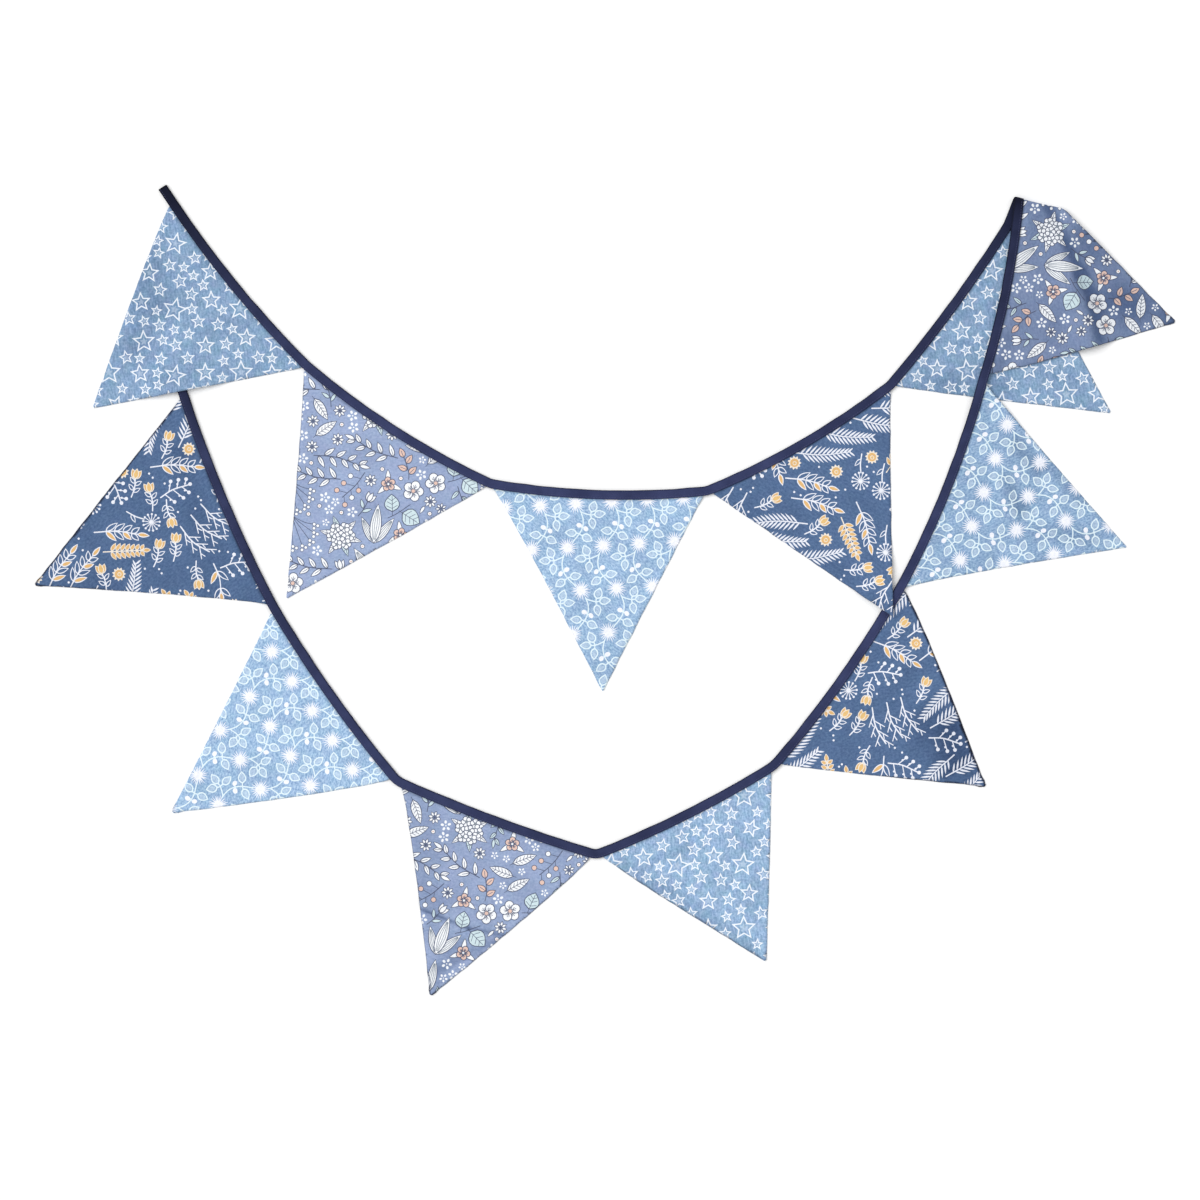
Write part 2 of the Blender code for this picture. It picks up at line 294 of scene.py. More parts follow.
def addNode(material, kind, settings=None, inputs=None):
    # a node with its settings; an input is a value or a pair of node and output
    node = material.node_tree.nodes.new(kind)
    for name, value in (settings or {}).items():
        setattr(node, name, value)
    for name, value in (inputs or {}).items():
        socket = node.inputs[name] if isinstance(name, int) else liveSocket(node.inputs, name)
        if isinstance(value, tuple) and isinstance(value[0], bpy.types.Node):
            material.node_tree.links.new(liveSocket(value[0].outputs, value[1]), socket)
        else:
            socket.default_value = value
    return node


def join(material, node, output, shader, name):
    material.node_tree.links.new(liveSocket(node.outputs, output), shader.inputs[name])


def newMaterial(name):
    material = bpy.data.materials.new(name)
    material.use_nodes = True
    return material, material.node_tree.nodes["Principled BSDF"]


def setRamp(node, stops):
    elements = node.color_ramp.elements
    while len(elements) < len(stops):
        elements.new(0.5)
    for element, (at, colour) in zip(elements, stops):
        element.position = at
        element.color = linear(colour)


# drawing a print: shapes are pairs of an ink and a polygon, later ones on top

def turned(points, x=0.0, y=0.0, turn=0.0, size=1.0):
    c, s = math.cos(math.radians(turn)), math.sin(math.radians(turn))
    return np.asarray(points, float) * size @ np.array([[c, s], [-s, c]]) + (x, y)


def placed(shapes, x, y, turn=0.0, size=1.0):
    return [(ink, turned(points, x, y, turn, size)) for ink, points in shapes]


def wheel(shapes, turns):
    # the same shapes turned about the origin
    return [shape for turn in turns for shape in placed(shapes, 0, 0, turn)]


def oval(x, y, a, b=None, turn=0.0, count=10):
    angles = np.arange(count) * math.tau / count
    return turned(np.stack([a * np.cos(angles), (b or a) * np.sin(angles)], -1), x, y, turn)


def leaf(length, width, count=5):
    # points to +x from the origin, widest a little before its middle
    t = np.arange(1, count + 1) / (count + 1)
    half = width / 2 * np.sin(math.pi * t ** 0.8) ** 0.85
    upper = np.stack([t * length, half], -1)
    return np.concatenate([[(0, 0)], upper, [(length, 0)], upper[::-1] * (1, -1)])


def curve(points, count=8):
    # a smooth line through the points
    points = np.asarray(points, float)
    if len(points) == 2:
        return points
    padded = np.vstack([2 * points[0] - points[1], points, 2 * points[-1] - points[-2]])
    out = [points[0]]
    for i in range(len(points) - 1):
        p0, p1, p2, p3 = padded[i:i + 4]
        for t in np.linspace(0, 1, max(2, count // (len(points) - 1)) + 1)[1:]:
            out.append(0.5 * (2 * p1 + (p2 - p0) * t + (2 * p0 - 5 * p1 + 4 * p2 - p3) * t * t
                              + (3 * p1 - p0 - 3 * p2 + p3) * t ** 3))
    return np.array(out)


def stroke(points, width, count=8, taper=1.0):
    # a line of that width with pointed ends; taper is the share of the width at its end
    line = curve(points, count)
    run = np.gradient(line, axis=0)
    run /= np.maximum(np.linalg.norm(run, axis=1), 1e-9)[:, None]
    half = (width / 2 * np.linspace(1, taper, len(line)))[:, None]
    half = half * np.stack([-run[:, 1], run[:, 0]], -1)
    ends = line[0] - run[0] * width * 0.35, line[-1] + run[-1] * width * 0.35 * taper
    return np.concatenate([[ends[0]], line + half, [ends[1]], (line - half)[::-1]])


def ringed(shape, rim, line, fill):
    # an outlined shape: the whole in one ink, and a smaller one in another on top
    middle = shape.mean(0)
    reach = np.linalg.norm(shape - middle, axis=1).mean()
    return [(line, shape), (fill, middle + (shape - middle) * (1 - rim / reach))]


def outlinedLeaf(length, width, line, fill, rim):
    inner = leaf(length - 2.6 * rim, width - 2 * rim) + (1.3 * rim, 0)
    return [(line, leaf(length, width)), (fill, inner)]


def lines(ink, width, *routes, count=8, taper=1.0):
    return [(ink, stroke(route, width, count, taper)) for route in routes]


def leaves(line, fill, rim, *rows):
    # outlined leaves, each from its place, turn, length and width
    shapes = []
    for x, y, turn, length, width in rows:
        shapes += placed(outlinedLeaf(length, width, line, fill, rim), x, y, turn)
    return shapes


def starShape(radius, ratio):
    angles = np.arange(10) * math.pi / 5 - math.pi / 2
    reach = np.where(np.arange(10) % 2 == 0, radius, radius * ratio)
    return np.stack([reach * np.cos(angles), reach * np.sin(angles)], -1)


def outlineStar(radius, line, ratio):
    outer = starShape(radius, ratio)
    a, b = outer[:2]
    side = abs(a[0] * b[1] - a[1] * b[0]) / np.linalg.norm(b - a)  # from the middle to a side
    small = starShape(radius * 0.36, ratio)
    return [("white", outer), ("ground", outer * (1 - line / side)), ("veil", small)]


def tiled(tile, size, box, origin, axes):
    # the shapes of a repeat, laid over a box of the flag; origin and axes are how the flag was cut
    shapes = []
    corners = np.array([(x, y) for x in box[::2] for y in box[1::2]], float)
    back = (corners - origin) @ axes.T / size
    first, last = np.floor(back.min(0)).astype(int) - 1, np.ceil(back.max(0)).astype(int) + 1
    for i in range(first[0], last[0]):
        for j in range(first[1], last[1]):
            shift = (i * size[0], j * size[1])
            shapes += [(ink, (points + shift) @ axes + origin) for ink, points in tile]
    return shapes


def dotsOf(shapes):
    # points that stand for all of a motif when room is sought for it
    dots = []
    for ink, points in shapes:
        ahead, middle = np.roll(points, -1, 0), points.mean(0)
        dots += [points, (points + ahead) / 2, (points + middle) / 2]
    return np.concatenate(dots)


scatter = {
    "cell": 1.5,  # of the grid on which room is sought
    "tries": 260,
    "lean": 9.0,  # most that a motif is turned from its set directions
    "gap": 2.0,  # kept free round a motif
    "near": 8.0,  # from here a motif counts as close to another
}


def scattered(settings):
    # fills the repeat with motifs in the order given, each where it lies closest to the others
    pick = random.Random(settings["seed"])
    size, cell = settings["tile"], scatter["cell"]
    grid = (round(size[0] / cell), round(size[1] / cell))
    taken, near = np.zeros(grid, bool), np.zeros(grid, bool)
    shapes = []

    def spread(at, reach):
        steps = range(-math.ceil(reach / cell), math.ceil(reach / cell) + 1)
        moves = np.array([(i, j) for i in steps for j in steps if math.hypot(i, j) * cell <= reach])
        return tuple(((at[:, None] + moves).reshape(-1, 2) % grid).T)

    for make, count, turns in settings["motifs"]:
        motif = make()
        dots = dotsOf(motif)
        for i in range(count):
            best = None
            for attempt in range(scatter["tries"]):
                x, y = pick.uniform(0, size[0]), pick.uniform(0, size[1])
                turn = pick.choice(turns) + pick.uniform(-scatter["lean"], scatter["lean"])
                at = np.floor(turned(dots, x, y, turn) / cell).astype(int) % grid
                if taken[at[:, 0], at[:, 1]].any():
                    continue
                close = near[at[:, 0], at[:, 1]].mean()
                if best is None or close > best[0]:
                    best = (close, x, y, turn, at)
            if best:
                close, x, y, turn, at = best
                at = np.unique(at, axis=0)
                taken[spread(at, scatter["gap"])] = True
                near[spread(at, scatter["near"])] = True
                shapes += placed(motif, x, y, turn)
    return shapes


# star print: outline stars of several sizes, scattered evenly

starPrint = {
    "tile": (150.0, 150.0),
    # radius, how many and width of the line
    "stars": ((14.2, 5, 1.45), (11.6, 9, 1.45), (8.8, 16, 1.25), (7.5, 32, 1.25)),
    "tries": 160,
    "crowding": 0.8,  # share of the radii that two stars keep apart
    "room": 1.6,  # and what they keep apart beyond it
    "seed": 11,
}


def makeStars(settings):
    pick = random.Random(settings["seed"])
    width, height = settings["tile"]
    found = []
    for radius, count, line in settings["stars"]:
        for i in range(count):
            best = None
            for attempt in range(settings["tries"]):
                x, y = pick.uniform(0, width), pick.uniform(0, height)
                near = 1e9
                for otherX, otherY, other, _ in found:
                    dx, dy = abs(x - otherX), abs(y - otherY)
                    away = math.hypot(min(dx, width - dx), min(dy, height - dy))
                    near = min(near, away - settings["crowding"] * (other + radius))
                if best is None or near > best[0]:
                    best = (near, x, y)
            if best[0] > settings["room"]:
                found.append((*best[1:], radius, line))
    shapes = []
    for x, y, radius, line in found:
        star = outlineStar(radius * pick.uniform(0.96, 1.05), line, pick.uniform(0.41, 0.47))
        shapes += placed(star, x, y, pick.gauss(0, 9))
    return shapes


# vine print: white burr balls joined by a stem with a three-leaf sprig, a leaf pair and two berries

vinePrint = {
    "tile": (40.6, 98.6),
    "nextRow": -12.5,
    "stem": 1.4,
    "leafLine": 1.55,
    "ball": 4.6,
    "spikes": 23,
    "spikeReach": (11.0, 12.4),
}


def burrBall(settings, seed):
    pick = random.Random(seed)
    shapes = []
    for i in range(settings["spikes"]):
        turn = i * 360.0 / settings["spikes"] + pick.uniform(-3, 3)
        reach = settings["spikeReach"][i % 2] + pick.uniform(-0.8, 0.5)
        spike = [(3.0, -0.7), (reach * 0.7, -0.42), (reach, 0), (reach * 0.7, 0.42), (3.0, 0.7)]
        shapes.append(("white", turned(spike, turn=turn)))
    return shapes + [("white", oval(0, 0, settings["ball"], count=16))]


def vineRow(settings, seed):
    shapes = lines(
        "mint", settings["stem"],
        [(4.5, 8.0), (7.2, 17.5), (6.2, 26.5), (2.0, 34.5), (-6.5, 43.5)],  # the main stem to the next ball
        [(5.4, 10.0), (10.0, 12.0), (16.0, 13.8), (20.0, 13.6)],  # to the sprig
        [(16.0, 13.8), (17.0, 9.5)], [(16.0, 13.8), (16.6, 17.5)],
        [(2.0, 34.5), (-2.0, 33.0)], [(2.0, 34.5), (5.4, 37.0)],
        [(6.0, 27.2), (3.5, 26.6)], [(6.0, 27.2), (8.6, 28.4)])
    for x, y, turn, length, width in (
        (16.8, 11.2, -68, 14.4, 10.4), (19.2, 13.7, -3, 14.4, 9.4), (16.5, 16.4, 83, 14.4, 9.2),
        (-0.2, 33.6, 187, 14.6, 9.6), (4.3, 36.2, 30, 14.4, 9.9),
    ):
        # outlined, with a lighter middle
        part = outlinedLeaf(length, width, "mint", "ground", settings["leafLine"])
        part.append(("veil", leaf(length - 5.4, width - 4.4) + (3.0, 0)))
        shapes += placed(part, x, y, turn)
    shapes += [("white", oval(2.3, 24.8, 3.3, 2.7, 20)), ("white", oval(9.6, 29.2, 3.2, 2.6, 60))]
    return shapes + burrBall(settings, seed)


def makeVine(settings):
    below = [(ink, points * (-1, 1)) for ink, points in vineRow(settings, 2)]
    return vineRow(settings, 1) + placed(below, settings["nextRow"], settings["tile"][1] / 2)


# floral print: line-drawn blossoms, sprigs and leaves, laid out for this bunting

pen = 0.95  # width of the dark outlines, mm
vein = 0.65  # and of the thinner lines inside them


def blossom(radius, fill="white", wide=0.5):
    petal = oval(radius * 0.55, 0, radius * 0.45, radius * wide * 0.9)
    return wheel(ringed(petal, pen, "slate", fill), range(0, 360, 72))


def openFlower(radius, fill="white", heart="peach"):
    tips = ((0.6, 0), (0.5, 0.16), (0.5, -0.16))
    stamens = lines("slate", 0.7, *([(radius * 0.2, 0), (radius * x, radius * y)] for x, y in tips))
    shapes = blossom(radius, fill) + wheel(stamens, range(0, 360, 72))
    return shapes + ringed(oval(0, 0, radius * 0.22, count=8), 0.6, "slate", heart)


def smallFlower():
    # the open flower in peach, with three leaves behind it
    behind = wheel(outlinedLeaf(17, 6.6, "slate", "white", pen), (20, 150, 265))
    return behind + openFlower(8.8, "peach", "white")


def daisy(radius=7.6, petals=8):
    petal = leaf(radius * 0.85, radius * 0.52) + (radius * 0.18, 0)
    inner = leaf(radius * 0.85 - 2.0, radius * 0.52 - 1.7) + (radius * 0.18 + 1.0, 0)
    shapes = wheel([("slate", petal), ("white", inner)], np.arange(petals) * 360.0 / petals)
    return shapes + [("slate", oval(0, 0, radius * 0.2, count=6))]


def daisyPair():
    second = placed(daisy(6.8, 7), 12.5, 7.5, 20)
    return daisy() + second + leaves("slate", "white", 0.8, (-6, 5, 120, 11, 4.4))


def veinedLeaf(length=30.0, width=12.0, fill="white", veins=5):
    routes = [[(-3.0, 0.6), (length * 0.5, -0.4), (length * 0.88, 0)]]
    for i in range(veins):
        x = length * (0.16 + 0.7 * i / veins)
        routes += [[(x, 0), (x + width * 0.24, side * width * 0.3)] for side in (-1, 1)]
    return outlinedLeaf(length, width, "slate", fill, 1.0) + lines("slate", vein, *routes)


def sprig(length=54.0, count=8, fill="white", leafLength=16.0):
    shapes = lines("slate", 1.0, [(0, 0), (length * 0.5, -3.5), (length, 0)], count=10)
    for i in range(count):
        share = (i + 0.7) / count
        x, y = length * share, -3.5 * math.sin(math.pi * share)
        part = outlinedLeaf(leafLength * (1.05 - 0.3 * share), leafLength * 0.4, "slate", fill, 1.0)
        part += lines("slate", vein, [(0, 0), (leafLength * 0.6, 0)])
        shapes += placed(part, x, y, (-1) ** i * (50 - 14 * share))
    return shapes + leaves("slate", fill, pen, (length - 1, 0, 0, leafLength * 0.85, leafLength * 0.34))


def stripedLeaf(length):
    width = length * 0.3
    routes = [[(length * 0.1, share * width * 0.16), (length * 0.48, share * width * 0.44),
               (length * 0.86, share * width * 0.1)] for share in (-0.62, -0.22, 0.22, 0.62)]
    return outlinedLeaf(length, width, "slate", "white", 1.05) + lines("grey", 0.7, *routes, count=6)


def leafFan():
    rows = ((-36, 34), (27, 38), (-5, 46))
    return [shape for turn, length in rows for shape in placed(stripedLeaf(length), 0, 0, turn)]


def posy():
    # a cluster of small blossoms on a few leaves
    shapes = []
    for turn in (20, 75, 130, 200, 255, 320):
        shapes += placed(veinedLeaf(25, 8.6, "mint" if turn % 2 else "white", 3), 0, 0, turn)
    flower = blossom(6.6, wide=0.56) + [("grey", oval(0, 0, 1.5, count=6))]
    for i in range(7):
        a = i * math.tau / 6
        x, y = (0, 0) if i == 6 else (10.4 * math.cos(a), 10.4 * math.sin(a))
        shapes += placed(flower, x, y, i * 23)
    return shapes


def berrySprig():
    shapes = lines("slate", 1.0, [(0, 0), (18, -2.5), (38, -1)])
    for i in range(6):
        x = 8 + i * 5.6
        tip = (x + 6, (-1) ** i * 9.0)
        shapes += lines("slate", 0.7, [(x, -1.8), tip])
        shapes += ringed(oval(*tip, 3.4), 0.8, "slate", "peach" if i % 3 else "white")
    return shapes


def umbel():
    shapes = []
    for turn in range(-66, 67, 22):
        reach = 25 + 3 * math.cos(math.radians(turn * 2))
        end = (reach * math.cos(math.radians(turn)), reach * math.sin(math.radians(turn)))
        shapes += lines("slate", 0.75, [(-8, 0), (end[0] * 0.4, end[1] * 0.55), end], count=6)
        for x, y in ((0, 0), (4.2, 1.8), (3.0, -3.2)):
            shapes += ringed(oval(end[0] + x, end[1] + y, 2.3, count=8), 0.65, "slate", "white")
    return shapes


def dotFlower(size=1.0):
    shapes = [("white", oval(4.2 * math.cos(a), 4.2 * math.sin(a), 2.0, 1.5, math.degrees(a), 8))
              for a in np.arange(5) * math.tau / 5]
    return placed(shapes + [("white", oval(0, 0, 0.9, count=6))], 0, 0, 0, size)


def dotTrail():
    return dotFlower() + placed(dotFlower(0.8), 12, 5, 20) + placed(dotFlower(0.9), 5, 14, 50)


def dotRing():
    return ringed(oval(0, 0, 2.9), 0.8, "slate", "white") + [("peach", oval(0, 0, 1.1, count=6))]


def coinLeaves():
    # broad round leaves with veins, in a pair
    shapes = lines("slate", 0.9, [(0, 0), (12, 1), (30, 0)])
    for x, side, length in ((8, -1, 21), (17, 1, 24)):
        part = outlinedLeaf(length, length * 0.86, "slate", "mint", 1.0)
        part += lines("slate", 0.7, [(-4, 0), (length * 0.86, 0.6)])
        for share in (0.2, 0.42, 0.62):
            for way in (-1, 1):
                tip = (length * (share + 0.16), way * length * (0.34 - 0.2 * share))
                part += lines("slate", 0.6, [(length * share, 0), tip])
        shapes += placed(part, x, side * 3, side * 62)
    return shapes


def peachSprig():
    shapes = lines("slate", 0.9, [(0, 0), (10, 1), (27, -2)])
    part = outlinedLeaf(13, 7.8, "slate", "peach", pen) + lines("slate", vein, [(1, 0), (9, 0)])
    for x, y, turn in ((6, 0.5, 55), (11, 0.5, -60), (18, -0.5, 42), (25, -1.8, -14)):
        shapes += placed(part, x, y, turn)
    return shapes


def bud():
    # a closed flower on a stem with two leaves
    stem = lines("slate", pen, [(0, 0), (10, 1), (20, 0)])
    pair = leaves("slate", "mint", pen, (6, 0.5, 42, 13, 5), (10, 0.5, -46, 12, 5))
    return stem + pair + leaves("slate", "white", 1.0, *((19, 0, turn, 13, 6.4) for turn in (-24, 24, 0)))


floralPrint = {
    "tile": (236.0, 204.0),
    "seed": 4,
    "motifs": (
        (leafFan, 2, (-75, -115)), (posy, 2, (0, 40)), (umbel, 2, (-100, 70)), (coinLeaves, 2, (-20, 160)),
        (sprig, 4, (-40, 20, 200)), (lambda: sprig(40, 6, "mint", 14.0), 3, (80, 250)),
        (berrySprig, 2, (-60, 130)), (lambda: openFlower(12.5), 4, (0, 36)), (peachSprig, 3, (-100, 10, 60)),
        (bud, 4, (-90, -60, 100)), (smallFlower, 3, (0, 120)), (veinedLeaf, 7, (-30, 60, 200)),
        (daisyPair, 4, (0, 90, 200)), (dotTrail, 6, (0, 90, 200)), (daisy, 6, (0,)), (dotFlower, 20, (0, 36)),
        (dotRing, 14, (0,)), (lambda: dotFlower(0.7), 14, (0,)),
    ),
}


# botanical print: fronds, outlined sprays, orange leaves and berries, laid out for this bunting

def frond(length=66.0, count=24, reach=15.0):
    shapes = lines("white", 1.5, [(0, 0), (length * 0.5, 3), (length, 0)], taper=0.6)
    for i in range(count):
        share = 0.14 + 0.84 * i / (count - 1)
        x, y = length * share, 3 * math.sin(math.pi * share)
        long = reach * (1.0 - 0.5 * share ** 1.8) * min(1.0, 0.55 + share * 1.6)
        shapes.append(("white", turned(leaf(long, 2.1, 3), x, y, -(-1) ** i * (50 - 14 * share))))
    return shapes


def leafSpray(length=50.0, pairs=4):
    shapes = lines("white", 1.5, [(0, 0), (length * 0.5, -3), (length, -1)], taper=0.7)
    fills = ("ground", "orange", "ground", "ground")
    for i in range(2 * pairs):
        share = 0.26 + 0.58 * (i // 2) / (pairs - 1)
        x, y = length * share, -3 * math.sin(math.pi * share)
        row = (x, y, -(-1) ** i * 38, 17.0 - 1.6 * (i // 2), 6.2)
        shapes += leaves("white", fills[i % 4], 1.15, row)
    return shapes + leaves("white", "orange", 1.15, (length - 1, -1, 4, 14.5, 5.8))


def compoundLeaf(length=42.0, pairs=7):
    rows = []
    for i in range(pairs):
        x, size = length * (0.12 + 0.8 * i / (pairs - 1)), 11.0 * (1.0 - 0.35 * i / pairs)
        rows += [(x, side * 0.4, side * 58, size, 5.0) for side in (-1, 1)]
    rows.append((length - 1, 0, 0, 9.5, 5.2))
    return lines("cream", 1.3, [(-4, 0), (length, 0)]) + leaves("cream", "orange", 0.85, *rows)


def aster(radius=8.0, rays=11):
    ray = leaf(radius * 0.7, 3.4, 3) + (radius * 0.3, 0)
    shapes = wheel([("cream", ray)], [i * 360 / rays for i in range(rays)])
    shapes.append(("orange", oval(0, 0, radius * 0.62, count=14)))
    return shapes + ringed(oval(0.4, 0.3, radius * 0.3, count=8), 0.8, "cream", "amber")


def cupFlower():
    # a closed orange flower on a stem with outlined leaves
    shapes = lines("white", 1.4, [(0, 0), (11, 1.5), (22, 0)], count=6)
    sides = ((6, 1), (8, -1), (14, 1), (16, -1))
    shapes += leaves("white", "ground", 1.05, *((x, 1, side * 48, 9.6, 4.8) for x, side in sides))
    for turn, fill in ((-26, "orange"), (26, "orange"), (0, "amber")):
        shapes += leaves("cream", fill, 1.0, (21, 0, turn, 12.5, 6.8))
    return shapes


def berryBranch():
    shapes = lines("white", 1.45, [(0, 0), (16, -2.5), (35, 0)])
    for x, side, reach in ((6, 1, 11), (11, -1, 12), (17, 1, 11), (21, -1, 10), (27, 1, 8), (31, -1, 7)):
        tip = (x + reach * 0.6, side * reach)
        shapes += lines("white", 1.15, [(x, -1.5), tip])
        shapes.append(("white", oval(*tip, 2.2, count=8)))
        shapes.append(("white", oval(tip[0] - 3.2, tip[1] - side * 4.0, 1.3, count=6)))
    return shapes + [("white", oval(37, 0, 2.2, count=8))]


def seedHead(rays=13):
    # a round head of rays that end in dots, on a short stem
    shapes = lines("white", 1.35, [(0, 0), (12, 1), (22, 0)])
    shapes += leaves("white", "ground", 1.0, (6, 0.5, 40, 11, 4.6))
    ray = lines("white", 0.9, [(2, 0), (8.6, 0)]) + [("white", oval(9.4, 0, 1.35, count=7))]
    for i in range(rays):
        shapes += placed(ray, 31, 0, i * 360 / rays)
    return shapes + [("white", oval(31, 0, 2.6, count=9))]


def twig(length=44.0):
    shapes = lines("white", 1.5, [(0, 0), (length * 0.5, 4), (length, 0)])
    for i in range(6):
        share, side = 0.2 + 0.13 * i, (-1) ** i
        x, y = length * share, 4 * math.sin(math.pi * share)
        shapes += lines("white", 1.3, [(x, y), (x + 11, y + side * 9.0)], count=4, taper=0.8)
        shapes += lines("white", 1.1, [(x + 6, y + side * 5), (x + 12, y + side * 4)])
    return shapes


botanicalPrint = {
    "tile": (226.0, 198.0),
    "seed": 9,
    "motifs": (
        (frond, 5, (-32, -25)), (compoundLeaf, 3, (-80, 10, 40)), (leafSpray, 4, (-20, 40)),
        (frond, 2, (150,)), (seedHead, 3, (60, 85)), (berryBranch, 4, (20, 100)), (twig, 3, (45, 80)),
        (cupFlower, 7, (-60, -40)), (lambda: leafSpray(34, 2), 5, (120, 150)), (aster, 5, (0,)),
        (cupFlower, 3, (120,)), (lambda: twig(26), 4, (0, 90, 200)),
        (lambda: [("white", oval(0, 0, 1.3, count=7))], 26, (0,)),
    ),
}


# the four cottons. each piece: a place of the print seen from above, mm, and the print's direction

cottons = {
    "star": {
        # printed cotton poplin: a soft matt face with a denim-look ground in cloudy slubs
        "name": "printed_cotton_poplin_star",
        "slot": "star_cotton",
        "ground": ("#7a99b8", "#90aece", "#a8c3e1"),
        "inks": {"white": ("#eef3fa", 1.0), "veil": ("#dce8f5", 0.3)},
        "streak": (8.0, 2.2, 84.0),  # length, width and turn of the streaks of the weave
        "wash": 1.0,  # how much the colour leans to green and violet in patches
        "pieces": {"flag_01": (-480, 330, 0), "flag_05": (450, 300, 4), "flag_09": (90, -300, 0)},
    },
    "floral": {
        # printed cotton poplin: a plain, even ground with a hint of sheen
        "name": "printed_cotton_poplin_floral",
        "slot": "floral_cotton",
        "ground": ("#8fa0c3", "#9aaacb", "#a5b4d4"),
        "inks": {"white": ("#f6f8fa", 1.0), "slate": ("#4b5168", 0.95), "mint": ("#cfe2e6", 1.0),
                 "grey": ("#868f98", 1.0), "peach": ("#e5c3b3", 1.0)},
        "streak": (4.5, 2.4, 0.0),
        "wash": 0.4,
        "pieces": {"flag_02": (-330, 230, 4), "flag_06": (470, 420, -84), "flag_10": (-215, -225, -10)},
    },
    "vine": {
        # printed cotton twill: fine slanting ribs break the colour up into short dashes
        "name": "printed_cotton_twill_vine",
        "slot": "vine_cotton",
        "ground": ("#7d9dc2", "#9ab8d8", "#b6d1ea"),
        "inks": {"white": ("#f3f4fb", 1.0), "mint": ("#e0f0f6", 1.0), "veil": ("#d8e6f2", 0.36)},
        "streak": (4.0, 1.6, 52.0),
        "wash": 0.5,
        "pieces": {"flag_03": (-32.7, 97.2, 3.4), "flag_07": (493.6, 143.8, 70.8),
                   "flag_11": (-379.6, -155.3, 124.3)},
    },
    "botanical": {
        # printed cotton poplin: a darker denim-look ground, thick white pigment print
        "name": "printed_cotton_poplin_botanical",
        "slot": "botanical_cotton",
        "ground": ("#476188", "#526c92", "#5d779d"),
        "inks": {"white": ("#edeff7", 1.0), "orange": ("#e3b777", 1.0), "amber": ("#e8c07c", 1.0),
                 "cream": ("#f0e6d8", 1.0)},
        "streak": (4.5, 2.4, 0.0),
        "wash": 0.4,
        "pieces": {"flag_04": (150, 150, -30), "flag_08": (300, -100, 12), "flag_12": (-500, 100, 40)},
    },
}

prints = {
    "star": (makeStars(starPrint), starPrint["tile"]),
    "floral": (scattered(floralPrint), floralPrint["tile"]),
    "vine": (makeVine(vinePrint), vinePrint["tile"]),
    "botanical": (scattered(botanicalPrint), botanicalPrint["tile"]),
}
print("drew the four prints:", {name: len(shapes) for name, (shapes, size) in prints.items()})

multiplied = {"data_type": "RGBA", "blend_type": "MULTIPLY"}  # a Mix node that darkens by a colour


